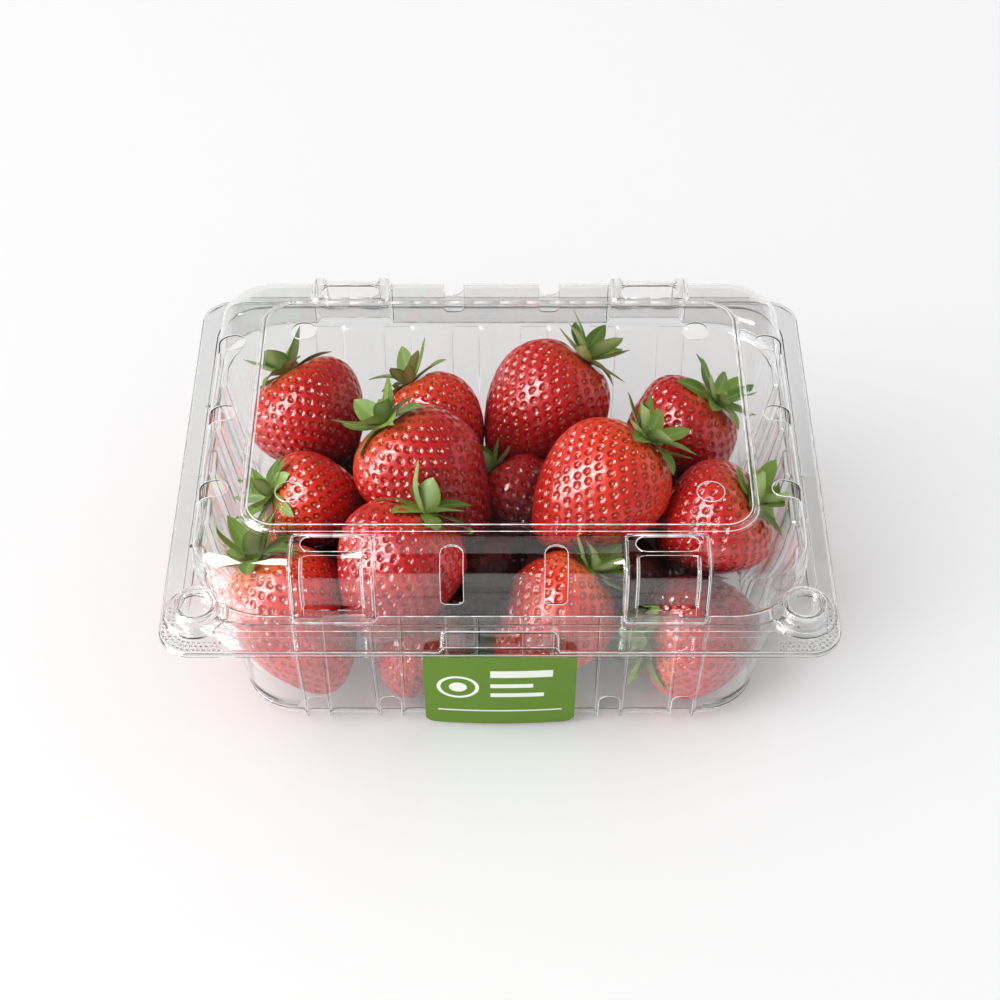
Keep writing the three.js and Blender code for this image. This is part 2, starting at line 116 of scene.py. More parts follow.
def ramp(tree, value, low, high, start=0.0, end=1.0):
    made = node(tree, "MapRange", {"Value": value, "From Min": low, "From Max": high, "To Min": start, "To Max": end})
    made.interpolation_type = "SMOOTHSTEP"
    return made.outputs["Result"]


def makeGroup(name, inputs, output, outputKind):
    group = bpy.data.node_groups.new(name, "ShaderNodeTree")
    for label in inputs:
        group.interface.new_socket(label, in_out="INPUT", socket_type="NodeSocketFloat")
    group.interface.new_socket(output, in_out="OUTPUT", socket_type=outputKind)
    return group, group.nodes.new("NodeGroupInput").outputs, group.nodes.new("NodeGroupOutput").inputs


def makeNoiseGroup():
    # uneven tone over the object's own place
    group, given, put = makeGroup("surface_noise", ("Scale", "Detail", "Roughness"), "Value", "NodeSocketFloat")
    inputs = {"Vector": node(group, "TexCoord").outputs["Object"]}
    inputs.update({label: given[label] for label in ("Scale", "Detail", "Roughness")})
    group.links.new(node(group, "TexNoise", inputs).outputs["Fac"], put["Value"])
    return group


def makeBumpGroup():
    # fine unevenness of a surface
    group, given, put = makeGroup("surface_bump", ("Scale", "Strength", "Distance"), "Normal", "NodeSocketVector")
    height = node(group, "Group", {"Scale": given["Scale"], "Detail": 2.0, "Roughness": 0.5}, node_tree=noiseGroup)
    inputs = {"Height": height.outputs["Value"], "Strength": given["Strength"], "Distance": given["Distance"]}
    group.links.new(node(group, "Bump", inputs).outputs["Normal"], put["Normal"])
    return group


noiseGroup = makeNoiseGroup()
bumpGroup = makeBumpGroup()


def noise(tree, scale, detail=2.0, roughness=0.5):
    values = {"Scale": scale, "Detail": detail, "Roughness": roughness}
    return node(tree, "Group", values, node_tree=noiseGroup).outputs["Value"]


def addBump(tree, shader, scale, strength, distance):
    made = node(tree, "Group", {"Scale": scale, "Strength": strength, "Distance": distance}, node_tree=bumpGroup)
    tree.links.new(made.outputs["Normal"], shader.inputs["Normal"])


def newMaterial(name):
    material = bpy.data.materials.new(name)
    material.use_nodes = True
    tree = material.node_tree
    return material, tree, tree.nodes["Principled BSDF"]


# mesh helpers, all in millimetres

def addMesh(name, points, faces, material=None, sharpAbove=None):
    mesh = bpy.data.meshes.new(name)
    mesh.from_pydata((np.asarray(points, float) * mm).tolist(), [], faces)
    mesh.update()
    piece = bpy.data.objects.new(name, mesh)
    bpy.context.scene.collection.objects.link(piece)
    if material:
        mesh.materials.append(material)
    smooth(piece, sharpAbove)
    return piece


def smooth(piece, sharpAbove=None):
    mesh = piece.data
    mesh.polygons.foreach_set("use_smooth", [True] * len(mesh.polygons))
    if sharpAbove is None:
        return
    bm = bmesh.new()
    bm.from_mesh(mesh)
    limit = math.radians(sharpAbove)
    for edge in bm.edges:
        edge.smooth = len(edge.link_faces) == 2 and edge.calc_face_angle(0) < limit
    bm.to_mesh(mesh)
    bm.free()
    for polygon in mesh.polygons:
        polygon.use_smooth = abs(polygon.normal.z) < 0.9999


def applyModifiers(piece):
    bpy.context.view_layer.update()
    graph = bpy.context.evaluated_depsgraph_get()
    made = bpy.data.meshes.new_from_object(piece.evaluated_get(graph))
    piece.modifiers.clear()
    piece.data = made


def cut(piece, tool, operation="DIFFERENCE"):
    modifier = piece.modifiers.new("cut", "BOOLEAN")
    modifier.operation = operation
    modifier.solver = "MANIFOLD"
    modifier.object = tool
    applyModifiers(piece)
    bpy.data.objects.remove(tool)


def joinPoints(parts):
    # several (points, faces) sets as one
    points, faces, start = [], [], 0
    for partPoints, partFaces in parts:
        points.append(np.asarray(partPoints, float))
        faces += [tuple(i + start for i in face) for face in partFaces]
        start += len(partPoints)
    return np.concatenate(points), faces


def ringFaces(count, rings, closeStart=True, closeEnd=True):
    # quads between rings of the same count, and flat ends
    faces = []
    for k in range(rings - 1):
        for i in range(count):
            a, b = k * count + i, k * count + (i + 1) % count
            faces.append((a, b, b + count, a + count))
    if closeStart:
        faces.append(tuple(range(count - 1, -1, -1)))
    if closeEnd:
        faces.append(tuple(range((rings - 1) * count, rings * count)))
    return faces


def lathe(profile, steps, x=0.0, y=0.0):
    # a closed solid of revolution from (radius, height) points that start and end on the axis
    ends = (profile[0][1], profile[-1][1])
    rings = profile[1:-1]
    angles = np.arange(steps) * 2 * math.pi / steps
    points = [(x + r * math.cos(a), y + r * math.sin(a), z) for r, z in rings for a in angles]
    faces = ringFaces(steps, len(rings), False, False)
    points += [(x, y, ends[0]), (x, y, ends[1])]
    first, last = len(points) - 2, len(points) - 1
    top = (len(rings) - 1) * steps
    for i in range(steps):
        j = (i + 1) % steps
        faces.append((first, j, i))
        faces.append((last, top + i, top + j))
    return points, faces


def slotOutline(width, length, steps=7):
    # a slot with round ends along Y, centred on its middle
    r = width / 2
    points = []
    for sign, turn in ((1, 0), (-1, math.pi)):
        for i in range(steps + 1):
            a = turn + math.pi * i / steps
            points.append((r * math.cos(a), sign * (length / 2 - r) + r * math.sin(a)))
    return points


def prismPoints(outline, low, high, axis="z"):
    rings = [[(x, y, z) for x, y in outline] for z in (low, high)]
    points = np.array(rings).reshape(-1, 3)
    faces = ringFaces(len(outline), 2)
    if axis == "y":  # the outline's own Y becomes height, and the prism runs along Y
        points = np.column_stack((points[:, 0], points[:, 2], points[:, 1]))
        faces = [face[::-1] for face in faces]
    return points, faces


def slotPrism(width, length, low, high, corner=1.7):
    # an upright slot whose lower corners are round in the view along its length
    rings = []
    for turn in np.linspace(0, math.pi / 2, 6):
        narrow = corner * (1 - math.sin(turn)) / (width / 2)
        z = low + corner * (1 - math.cos(turn))
        rings.append([(x * (1 - narrow), y, z) for x, y in slotOutline(width, length)])
    rings.append([(x, y, high) for x, y in slotOutline(width, length)])
    return np.array(rings).reshape(-1, 3), ringFaces(len(rings[0]), len(rings))


def turned(part, quarter, x=0.0, y=0.0):
    # a part turned about Z by quarter turns, then moved
    points = np.asarray(part[0], float)
    a = quarter * math.pi / 2
    c, s = round(math.cos(a)), round(math.sin(a))
    along = c * points[:, 0] - s * points[:, 1] + x
    across = s * points[:, 0] + c * points[:, 1] + y
    return np.column_stack((along, across, points[:, 2])), part[1]


# formed film: rings round a rounded rectangle, with reliefs along the straight runs

def rectanglePath(halfX, halfY, radius, marksX, marksY, cornerSteps, middleY=0.0):
    # points, outward normals, side (0 front, 1 right, 2 back, 3 left, -1 corner) and place along the side
    path = []
    runX, runY = halfX - radius, halfY - radius
    for side, (nx, ny) in enumerate(((0, -1), (1, 0), (0, 1), (-1, 0))):
        marks, run = (marksY, runY) if side % 2 else (marksX, runX)
        direction = 1 if side in (0, 1) else -1
        for along in [direction * m for m in sorted([-run, run] + list(marks))]:
            x, y = (along, ny * halfY) if nx == 0 else (nx * halfX, along)
            path.append((x, y, nx, ny, side, along))
        cx, cy = [(runX, -runY), (runX, runY), (-runX, runY), (-runX, -runY)][side]
        for i in range(1, cornerSteps):
            a = (side - 1 + i / cornerSteps) * math.pi / 2
            c, s = math.cos(a), math.sin(a)
            path.append((cx + radius * c, cy + radius * s, c, s, -1, 0.0))
    path = np.array(path)
    path[:, 1] += middleY
    return path


def softStep(x, low, high):
    t = np.clip((x - low) / (high - low), 0, 1)
    return t * t * (3 - 2 * t)


def filmFrom(name, rings, centreFirst, thickness, material):
    # rings of points, closed by a fan at the first ring's middle, thickened inwards
    count = len(rings[0])
    points = np.concatenate(rings)
    faces = ringFaces(count, len(rings), False, False)
    points = np.vstack((points, [0, 0, centreFirst]))
    centre = len(points) - 1
    faces += [(centre, (i + 1) % count, i) for i in range(count)]
    piece = addMesh(name, points, faces, material)
    wall = piece.modifiers.new("wall", "SOLIDIFY")
    wall.thickness = thickness * mm
    wall.offset = -1
    wall.use_even_offset = False
    applyModifiers(piece)
    return piece


# painted highlights: thin bright rods along the bends and cut edges of the film, standing in for the light these edges
# mirror

paintedHighlights = {"tub": [], "lid": []}


def rod(a, b, radius):
    # a five-sided rod from a to b
    along = (b - a) / max(np.linalg.norm(b - a), 1e-9)
    side = np.cross(along, (0.31, 0.52, 0.79))
    side /= np.linalg.norm(side)
    up = np.cross(along, side)
    turn = np.arange(5) * 2 * math.pi / 5
    ring = radius * (np.cos(turn)[:, None] * side + np.sin(turn)[:, None] * up)
    reach = along * radius * 0.3
    return np.vstack((ring + a - reach, ring + b + reach)), ringFaces(5, 2)


def polyline(points, radius, closed=False):
    points = np.asarray(points, float)
    ends = np.roll(points, -1, axis=0) if closed else points[1:]
    return [rod(a, b, radius) for a, b in zip(points, ends) if np.linalg.norm(b - a) > 0.02]


def cutRims(piece, radius, reachX, reachY, low, high):
    # painted highlight rods along the outer rim of every cut within the given reach from the middle and heights
    bm = bmesh.new()
    bm.from_mesh(piece.data)
    rods = []
    for edge in bm.edges:
        a, b = (np.array(v.co) / mm for v in edge.verts)
        if len(edge.link_faces) < 2 or edge.calc_face_angle(0) < math.radians(50):
            continue
        farX, farY, _ = np.maximum(np.abs(a), np.abs(b))
        if farX > reachX or farY > reachY or not low < a[2] < high:
            continue
        out = Vector(a - (0, 0, 40)).normalized()
        if max(face.normal.dot(out) for face in edge.link_faces) > 0.4:
            rods.append(rod(a, b, radius))
    bm.free()
    return rods


def makePaintedHighlights():
    for body, rods in paintedHighlights.items():
        highlight_rods = addMesh(body + "_highlight_rods", *joinPoints(rods), highlightWhite)
        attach(highlight_rods, body)
        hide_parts(body)
        print(body, "highlight_rods", len(highlight_rods.data.polygons))


# tub

ribRings = (7, 17)
tubSettings = {
    "foot": (74.5, 49.5, 15.0),
    "mouth": (84.5, 58.4, 20.0),
    "top": 58.65,  # underside of the rim
    "rim": {"halfX": 93.0, "front": -72.65, "back": 70.45, "radius": 8.5},
    "film": 0.5,
    "flutesX": [-53.75, -32.25, -10.75, 10.75, 32.25, 53.75],
    "flutesY": [-28.5, -9.5, 9.5, 28.5],
    "fluteHalf": (4.6, 5.3),
    "proud": 1.3,
    "edge": 1.3,
    "drainWidth": 6.3,
    "drainTop": 15.0,
    "plinth": 5.4,
    # height, how far in, and share of the flutes' depth, from the middle out to the foot
    "bottom": [(0.0, 12.0, 0.0), (0.0, 4.6, 0.4), (0.12, 3.4, 0.8), (0.6, 2.0, 1), (1.4, 1.0, 1), (2.6, 0.35, 1),
               (4.2, 0.05, 1)],
}


def fluteHalf(share):
    narrow, wide = tubSettings["fluteHalf"]
    return narrow + (wide - narrow) * share


def tubFluteMarks(share):
    s = tubSettings
    half = fluteHalf(share)
    steps = (-half - 0.1, -half + 0.35, -half + 0.8, -half + s["edge"] + 0.1)
    offsets = list(steps) + [0.0] + [-v for v in reversed(steps)]
    marksX = [c + o for c in s["flutesX"] for o in offsets]
    marksY = [c + o for c in s["flutesY"] for o in offsets]
    return half, marksX, marksY


def tubRing(z, inset=0.0, fluteShare=1.0, drop=0.0):
    # one ring of the tub's outer face at height z
    s = tubSettings
    share = z / seam
    size = [a + (b - a) * share for a, b in zip(s["foot"], s["mouth"])]
    half, marksX, marksY = tubFluteMarks(share)
    path = rectanglePath(size[0] - inset, size[1] - inset, size[2] - inset, marksX, marksY, 10)
    ring = []
    for x, y, nx, ny, side, along in path:
        out = 0.0
        if side >= 0:
            centres = s["flutesX"] if side in (0, 2) else s["flutesY"]
            near = min(abs(along - c) for c in centres)
            out = s["proud"] * fluteShare * float(softStep(half - near, 0.0, s["edge"]))
        ring.append((x + nx * out, y + ny * out, z + drop))
    return np.array(ring)


def rimRing(rim, inset, z, marksX, marksY, steps=10):
    front, back = rim["front"] + inset, rim["back"] - inset
    size = (rim["halfX"] - inset, (back - front) / 2, rim["radius"] - inset * 0.5)
    path = rectanglePath(*size, marksX, marksY, steps, (front + back) / 2)
    return np.column_stack((path[:, :2], np.full(len(path), z)))


def makeTub(material):
    s = tubSettings
    _, marksX, marksY = tubFluteMarks(1.0)
    rings = []
    for z, inset, share in s["bottom"]:
        rings.append(tubRing(z, inset, share))
    rings.append(tubRing(s["plinth"], 0.0))
    rings.append(tubRing(s["plinth"] + 0.5, -0.32))
    rings.append(tubRing(s["plinth"] + 1.1, 0.0))
    for z in (12, 20, 30, 40, 50, 54.5, 57.0, 57.9):
        rings.append(tubRing(z))
    top = s["top"]
    for outset, down, share in ((0.25, 0.45, 0.8), (0.75, 0.12, 0.45), (1.8, 0.0, 0.0)):
        rings.append(tubRing(top - down, -outset, share))
    for inset, z in ((7.0, top), (0.9, top), (0.35, top - 0.08), (0.08, top - 0.35), (0.0, top - 0.9)):
        rings.append(rimRing(s["rim"], inset, z, marksX, marksY))
    addRibs(rings[ribRings[0]:ribRings[1]])
    tub = filmFrom("clear_tub", rings, 0.0, s["film"], material)
    tools = []
    outline = slotOutline(s["drainWidth"], 2 * s["drainTop"])
    for quarter in range(4):
        reach, centres = (s["foot"][0], s["flutesY"]) if quarter % 2 else (s["foot"][1], s["flutesX"])
        for c in centres:
            tool = prismPoints([(x + c, y) for x, y in outline], -reach - 14, -reach + 3.4, "y")
            tools.append(turned(tool, quarter))
    cut(tub, addMesh("drains", *joinPoints(tools), plastic))
    paintedHighlights["tub"] += cutRims(tub, 0.09, 88, 62, 0.3, 20)
    smooth(tub, 32)
    return tub


def addRibs(rings):
    # painted highlight rods along both edges of every flute, on the long walls (k 0) and at the ends (k 1)
    s = tubSettings
    for k in (0, 1):
        for centre in s["flutesX"] if k == 0 else s["flutesY"]:
            for sign in (-1, 1):
                for edge in (-1, 1):
                    line = []
                    for ring in rings:
                        near = ring[ring[:, 1 - k] * sign > (44, 70)[k]]
                        near = near[np.argsort(near[:, k])]
                        at = centre + edge * (fluteHalf(ring[0, 2] / seam) - 0.8)
                        across = np.interp(at, near[:, k], near[:, 1 - k])
                        line.append((at, across, ring[0, 2]) if k == 0 else (across, at, ring[0, 2]))
                    paintedHighlights["tub"] += polyline(line, 0.07)


# lid

lidSettings = {
    "film": 0.5,
    "panel": (70.7, 46.4, 9.0),
    "panelFoot": (71.8, 47.5, 10.1),
    "bend": (78.9, 54.4, 11.6),
    "shoulder": (84.6, 59.6, 15.0),
    "bendEnd": 74.6,
    "base": (86.3, 60.15, 22.0),
    "top": seam + 22.1,
    "shelfHeight": seam + 20.3,
    "rimTop": 59.72,
    "beadTop": 61.15,
    "beadIn": (86.9, 63.7, 19.0),
    "beadOut": (88.2, 66.9, 14.3),
    "rim": {"halfX": 93.5, "front": -73.15, "back": 70.8, "radius": 9.0},
}
beadRing = 27
bossRings = (7, 26)
paneRings = (12, 25)
bossSettings = {
    "x": 45.5,
    "half": 12.1,
    "edge": 1.3,
    "rise": 1.0,
    "proud": 2.3,
    "window": 8.2,
    "windowLow": 65.2,
    "windowDepth": 0.9,
    "slot": (17.5, 5.7),
    "slotY": 51.7,
}
ventSettings = {
    "hole": 3.85,
    "holeX": 58.4,
    "holeY": 33.0,
    "slotWidth": 6.3,
    "frontX": (-13.1, 15.3),
    "backX": (-14.3, 15.1),
    "frontLow": 64.6,
    "inFromShelf": 3.2,
    "sideSpacing": 30.0,
    "sideLow": 67.0,
}
tabSettings = {
    "half": 16.5,
    "edge": 1.4,
    "rise": 2.0,
    "back": -66.9,
}
buttonSettings = {
    "x": 83.6,
    "y": -59.0,
    "outer": 6.3,
    "inner": 4.5,
    "pad": 9.0,
    "height": 3.1,
}


def lidMarks():
    b, t = bossSettings, tabSettings
    edges = (-0.1, 0.4, 0.8, b["edge"])
    boss = [-b["half"] + e for e in edges] + [-b["window"] - 0.35, -b["window"] + 0.35]
    boss = boss + [0.0] + [-v for v in reversed(boss)]
    marks = [sign * b["x"] + v for sign in (-1, 1) for v in boss]
    tab = [-t["half"] + e for e in (-0.1, 0.5, 0.9, t["edge"])]
    marks += tab + [-8.0, 0.0, 8.0] + [-v for v in reversed(tab)] + [-26.0, 26.0, -21.0, 21.0]
    return marks, [-27.0, -18.0, -9.0, 0.0, 9.0, 18.0, 27.0]


def bossWeight(side, along, trim):
    b = bossSettings
    if side not in (0, 2):
        return 0.0, 0.0
    near = abs(abs(along) - b["x"])
    whole = float(softStep(b["half"] - near, trim, b["edge"] + trim))
    window = float(softStep(b["window"] - near, trim - 0.4, trim + 0.4))
    return whole, window


def lidRing(size, z, bossOut=0.0, bossUp=0.0, windowIn=0.0, windowDown=0.0, valley=None, trim=0.0):
    # how far the bosses reach out and up, and their windows back in and down, at this ring
    marksX, marksY = lidMarks()
    path = rectanglePath(*size, marksX, marksY, 12)
    ring = []
    for x, y, nx, ny, side, along in path:
        whole, pane = bossWeight(side, along, trim)
        out = whole * bossOut - pane * windowIn
        height = z + whole * bossUp - pane * windowDown
        if valley is not None:  # the groove beside the bead fades out along the two ends
            height = valley + (z - valley) * float(softStep(abs(ny), 0.25, 0.95))
        ring.append((x + nx * out, y + ny * out, height))
    return np.array(ring)


def mixed(a, b, t):
    return tuple(p + (q - p) * t for p, q in zip(a, b))


def lidWallSize(z):
    # the wall's rounded rectangle at height z
    s = lidSettings
    return mixed(s["base"], s["shoulder"], (z - s["rimTop"]) / (s["bendEnd"] - s["rimTop"]))


def makeLid(material):
    s, b, t = lidSettings, bossSettings, tabSettings
    rings = []
    top, shelf = s["top"], s["shelfHeight"]
    for inset, down in ((8.0, 0.0), (1.6, 0.0), (0.8, 0.06), (0.25, 0.3), (0.0, 0.75)):
        rings.append(lidRing(tuple(v - inset for v in s["panel"]), top - down))
    for share, z in ((0.75, shelf + 0.6), (1.0, shelf + 0.15)):
        rings.append(lidRing(mixed(s["panel"], s["panelFoot"], share), z))
    foot = tuple(v + 0.6 for v in s["panelFoot"])
    rings.append(lidRing(foot, shelf, 0.0, b["rise"] * 0.5, trim=1.5))
    for inset, trim in ((5.8, 0.5), (4.0, 0.0), (2.0, 0.0)):
        rings.append(lidRing(tuple(v - inset for v in s["bend"]), shelf, 0.0, b["rise"], trim=trim))
    drop, swing = shelf - s["bendEnd"], s["shoulder"][1] - s["bend"][1]
    for turn, pane in ((0, 0), (10, 0.5), (18, 1), (32, 1), (46, 1), (60, 1), (75, 1), (90, 1)):
        c, n = math.cos(math.radians(turn)), math.sin(math.radians(turn))
        z = shelf - drop * (1 - c)
        size, depth = mixed(s["bend"], s["shoulder"], n), b["windowDepth"] * pane
        rings.append(lidRing(size, z, b["proud"] * n, b["rise"] * c, depth * n, depth * c))
    low = b["windowLow"]
    for z, pane in ((70, 1), (low + 1.0, 1), (low + 0.5, 1), (low, 0.4), (low - 0.5, 0), (62.4, 0)):
        rings.append(lidRing(lidWallSize(z), z, b["proud"], 0.0, b["windowDepth"] * pane, 0.0))
    for outset, up in ((0.0, 1.5), (0.1, 0.7), (0.5, 0.2), (1.1, 0.0)):
        size = tuple(v + outset * 0.35 for v in s["base"])
        rings.append(lidRing(size, s["rimTop"] + up, b["proud"], valley=s["beadTop"] + 0.15))
    groove = mixed(s["base"], s["beadIn"], 0.8)
    rings.append(lidRing(groove, s["rimTop"], valley=s["beadTop"] + 0.08))
    rings.append(lidRing(s["beadIn"], s["rimTop"] + 0.9, valley=s["beadTop"]))
    rings.append(lidRing(mixed(s["beadIn"], s["beadOut"], 0.2), s["beadTop"] - 0.1))
    rings.append(lidRing(mixed(s["beadIn"], s["beadOut"], 0.5), s["beadTop"]))
    rings.append(lidRing(mixed(s["beadIn"], s["beadOut"], 0.85), s["beadTop"] - 0.12))
    for outset, up in ((0.0, 0.85), (0.25, 0.25), (0.7, 0.0)):
        rings.append(lidRing(tuple(v + outset for v in s["beadOut"]), s["rimTop"] + up))
    marksX, marksY = lidMarks()
    for inset, z in ((3.2, 0.0), (0.9, 0.0), (0.35, -0.06), (0.08, -0.25), (0.0, -0.46)):
        rings.append(rimRing(s["rim"], inset, s["rimTop"] + z, marksX, marksY, 12))
    rings = [tabLift(ring) for ring in rings]
    addBends(rings)
    lid = filmFrom("clear_lid", [ring[::-1] for ring in rings], top, s["film"], material)
    cutLidOpenings(lid)
    addButtons(lid)
    smooth(lid, 32)
    return lid


def addBends(rings):
    # painted highlight rods along the panel edge and foot, the outline of each boss and its window, the wall's foot,
    # the thumb tab
    s, b, t = lidSettings, bossSettings, tabSettings
    highlight_rods = paintedHighlights["lid"]
    edge = tuple(v - 1.0 for v in s["panel"])
    highlight_rods += polyline(lidRing(edge, s["top"] + 0.02), 0.17, True)
    highlight_rods += polyline(lidRing(mixed(s["panel"], s["panelFoot"], 0.6), s["shelfHeight"] + 0.85), 0.12, True)
    highlight_rods += polyline(rings[beadRing], 0.13, True)
    for x in (-b["x"], b["x"]):
        for sign in (-1, 1):
            outlines = ((b["half"] - 0.75, bossRings, 0.12), (b["window"] - 0.1, paneRings, 0.06))
            for half, (first, last), radius in outlines:
                sides = []
                for edgeX in (x - half, x + half):
                    line = []
                    for ring in rings[first:last]:
                        near = ring[ring[:, 1] * sign > 40]
                        near = near[np.argsort(near[:, 0])]
                        line.append([edgeX] + [np.interp(edgeX, near[:, 0], near[:, k]) for k in (1, 2)])
                    sides.append(np.array(line))
                    highlight_rods += polyline(line[1:], radius)
                (x0, y0, z0), (x1, y1, z1) = sides[0][0], sides[1][0]
                (_, y2, z2), corner = sides[0][1], 2.0
                bend = (y0 * 0.7 + y2 * 0.3, z0 * 0.7 + z2 * 0.3)
                top = [(x0, y2, z2), (x0 + 0.6, *bend), (x0 + corner, y0, z0)]
                top += [(x1 - corner, y1, z1), (x1 - 0.6, *bend), (x1, y2, z2)]
                highlight_rods += polyline(top, radius)
    highlight_rods += polyline(rings[-3], 0.09, True)
    highlight_rods += polyline(lidRing(mixed(s["beadIn"], s["beadOut"], 0.9), s["beadTop"] - 0.12), 0.07, True)
    u = buttonSettings
    for side in (-1, 1):
        x, y, top = side * u["x"], u["y"], u["height"] - 0.1
        turns = np.arange(40) * math.pi / 20
        circles = ((u["outer"] - 0.35, top, 0.1), (u["inner"] + 0.15, top, 0.08), (u["pad"] - 0.6, 0.0, 0.09))
        for r, z, radius in circles:
            circle = [(x + r * math.cos(a), y + r * math.sin(a), s["beadTop"] + z) for a in turns]
            if radius == 0.09:  # the pad shows its edge only outside the dome
                circle = [p for p in circle if abs(p[0]) > 86.5 or p[1] < -62.5]
                circle = sorted(circle, key=lambda p: math.atan2(p[1] - y - 4, side * p[0] - u["x"] + 4))
            highlight_rods += polyline(circle, radius, radius != 0.09)
    half, high = t["half"] - 0.7, s["beadTop"] + t["rise"] - 1.5
    front, back = s["rim"]["front"] + 0.6, t["back"] - 0.2
    tab = [(-half, front, high), (-half, back - 1.4, high), (-half + 1.4, back, high)]
    highlight_rods += polyline(tab + [(-x, y, z) for x, y, z in tab[::-1]], 0.12)


def tabLift(ring):
    # the thumb tab: a flat arch raised over the front rim
    t = tabSettings
    lifted = ring.copy()
    across = softStep(t["half"] - np.abs(ring[:, 0]), 0.0, t["edge"])
    deep = softStep(t["back"] - ring[:, 1], -0.6, 0.6)
    low = lidSettings["beadTop"]
    lift = np.maximum(0.0, low + t["rise"] - 1.5 - ring[:, 2]) * across * deep
    lifted[:, 2] += np.where(ring[:, 2] < low + 0.5, lift, 0.0)
    return lifted


def cutLidOpenings(lid):
    s, b, v = lidSettings, bossSettings, ventSettings
    shelf, high = s["shelfHeight"], s["top"] + 3
    tools = []
    slot = [(y, x) for x, y in slotOutline(b["slot"][1], b["slot"][0])][::-1]
    circle = [(v["hole"] * math.cos(a), v["hole"] * math.sin(a)) for a in np.arange(28) * math.pi / 14]
    forms = ((slot, b["x"], b["slotY"], shelf - 2), (circle, v["holeX"], v["holeY"], s["top"] - 1.5))
    length = 26.0
    for sx in (-1, 1):
        for sy in (-1, 1):
            for form, atX, atY, low in forms:
                tools.append(prismPoints([(x + sx * atX, y + sy * atY) for x, y in form], low, high))
        inner = s["bend"][1] - v["inFromShelf"]
        for x in v["backX"] if sx > 0 else v["frontX"]:
            tool = slotPrism(v["slotWidth"], length, v["frontLow"], high)
            tools.append(turned(tool, 0, x, sx * (inner + length / 2)))
        for step in (-1, 0, 1):
            inner = s["bend"][0] - v["inFromShelf"]
            tool = slotPrism(v["slotWidth"], length, v["sideLow"], high)
            tools.append(turned(tool, 1, sx * (inner + length / 2), step * v["sideSpacing"]))
    cut(lid, addMesh("openings", *joinPoints(tools), plastic))
    paintedHighlights["lid"] += cutRims(lid, 0.1, 87, 63, 62.5, 90)


def addButtons(lid):
    # a round snap button in each front corner of the rim
    s, u = lidSettings, buttonSettings
    film = s["film"]
    base, pad = s["rimTop"], s["beadTop"]
    peak = pad + u["height"]
    wide, outer, inner = u["pad"], u["outer"], u["inner"]
    outside = [(wide + 0.5, base), (wide + 0.1, base + 0.3), (wide - 0.15, pad - 0.5), (wide - 0.45, pad - 0.12),
               (wide - 0.9, pad), (outer + 0.5, pad), (outer + 0.12, pad + 0.14), (outer, pad + 0.5),
               (outer - 0.15, peak - 0.5), (outer - 0.35, peak - 0.12), (outer - 0.7, peak),
               (inner + 0.5, peak), (inner + 0.15, peak - 0.12), (inner, peak - 0.5),
               (inner - 0.1, pad + 0.7), (inner - 0.3, pad + 0.35), (inner - 0.7, pad + 0.25)]
    inside = []
    for i, (r, z) in enumerate(outside):
        r0, z0 = outside[max(i - 1, 0)]
        r1, z1 = outside[min(i + 1, len(outside) - 1)]
        size = math.hypot(r1 - r0, z1 - z0)
        inside.append((r + film * (z1 - z0) / size * -1, z - film * abs(r1 - r0) / size))
    inside = [(max(r, 0.4), z) for r, z in inside]
    profile = [(0.0, inside[-1][1])] + inside[::-1] + outside + [(0.0, outside[-1][1])]
    hole = [(0.0, base - 3), (outer - film, base - 3), (outer - film, pad + 0.3), (0.0, pad + 0.3)]
    for side in (-1, 1):
        x = side * u["x"]
        cut(lid, addMesh("under_button", *lathe(hole, 40, x, u["y"]), plastic))
        button = addMesh("button", *lathe(profile, 40, x, u["y"]), plastic)
        cut(button, domeTool())
        cut(lid, button, "UNION")


def domeTool():
    # the dome's own inside, which keeps a button's pad out of it
    rings = []
    for z in (seam - 4, seam + 4, seam + 12):
        size = tuple(v - 0.25 for v in lidWallSize(max(z, lidSettings["rimTop"])))
        path = rectanglePath(*size, [], [], 12)
        rings.append(np.column_stack((path[:, :2], np.full(len(path), z))))
    return addMesh("dome_tool", np.concatenate(rings), ringFaces(len(rings[0]), len(rings)), plastic)


# clear plastic

filmFinish = {
    "Base Color": (0.99, 0.994, 0.994, 1),
    "Roughness": 0.02,
    "IOR": 1.5,
    "Coat Weight": 0.2,
    "Transmission Weight": 1.0,
}
# pale colours of the painted edge highlights
highlightFinish = {
    "low": (0.74, 0.72, 0.725, 1),
    "high": (0.94, 0.92, 0.92, 1),
}


def setFinish(shader, finish):
    for name, value in finish.items():
        shader.inputs[name].default_value = value


def clearPlastic():
    material, tree, film = newMaterial("clear_plastic")
    setFinish(film, filmFinish)
    addBump(tree, film, 60, 0.06, 0.0004)
    through = node(tree, "BsdfTransparent", {"Color": (0.97, 0.975, 0.975, 1)})
    ray = node(tree, "LightPath").outputs
    light = maths(tree, "MAXIMUM", ray["Is Shadow Ray"], ray["Is Diffuse Ray"])
    mix = node(tree, "MixShader", {"Fac": light, 1: film.outputs["BSDF"], 2: through.outputs["BSDF"]})
    tree.links.new(mix.outputs["Shader"], tree.nodes["Material Output"].inputs["Surface"])
    return material


def highlightMaterial():
    # painted highlight on the bends and cut edges: a pale matt colour standing in for the light the film mirrors there
    material, tree, shader = newMaterial("painted_edge_highlight")
    shade = mixColour(tree, noise(tree, 200), highlightFinish["low"], highlightFinish["high"])
    tree.links.new(shade, shader.inputs["Base Color"])
    shader.inputs["Roughness"].default_value = 0.3
    addBump(tree, shader, 900, 0.1, 0.0002)
    return material


plastic = clearPlastic()
highlightWhite = highlightMaterial()
tub = makeTub(plastic)
print("tub", len(tub.data.polygons))
lid = makeLid(plastic)
print("lid", len(lid.data.polygons))
makePaintedHighlights()


# berries

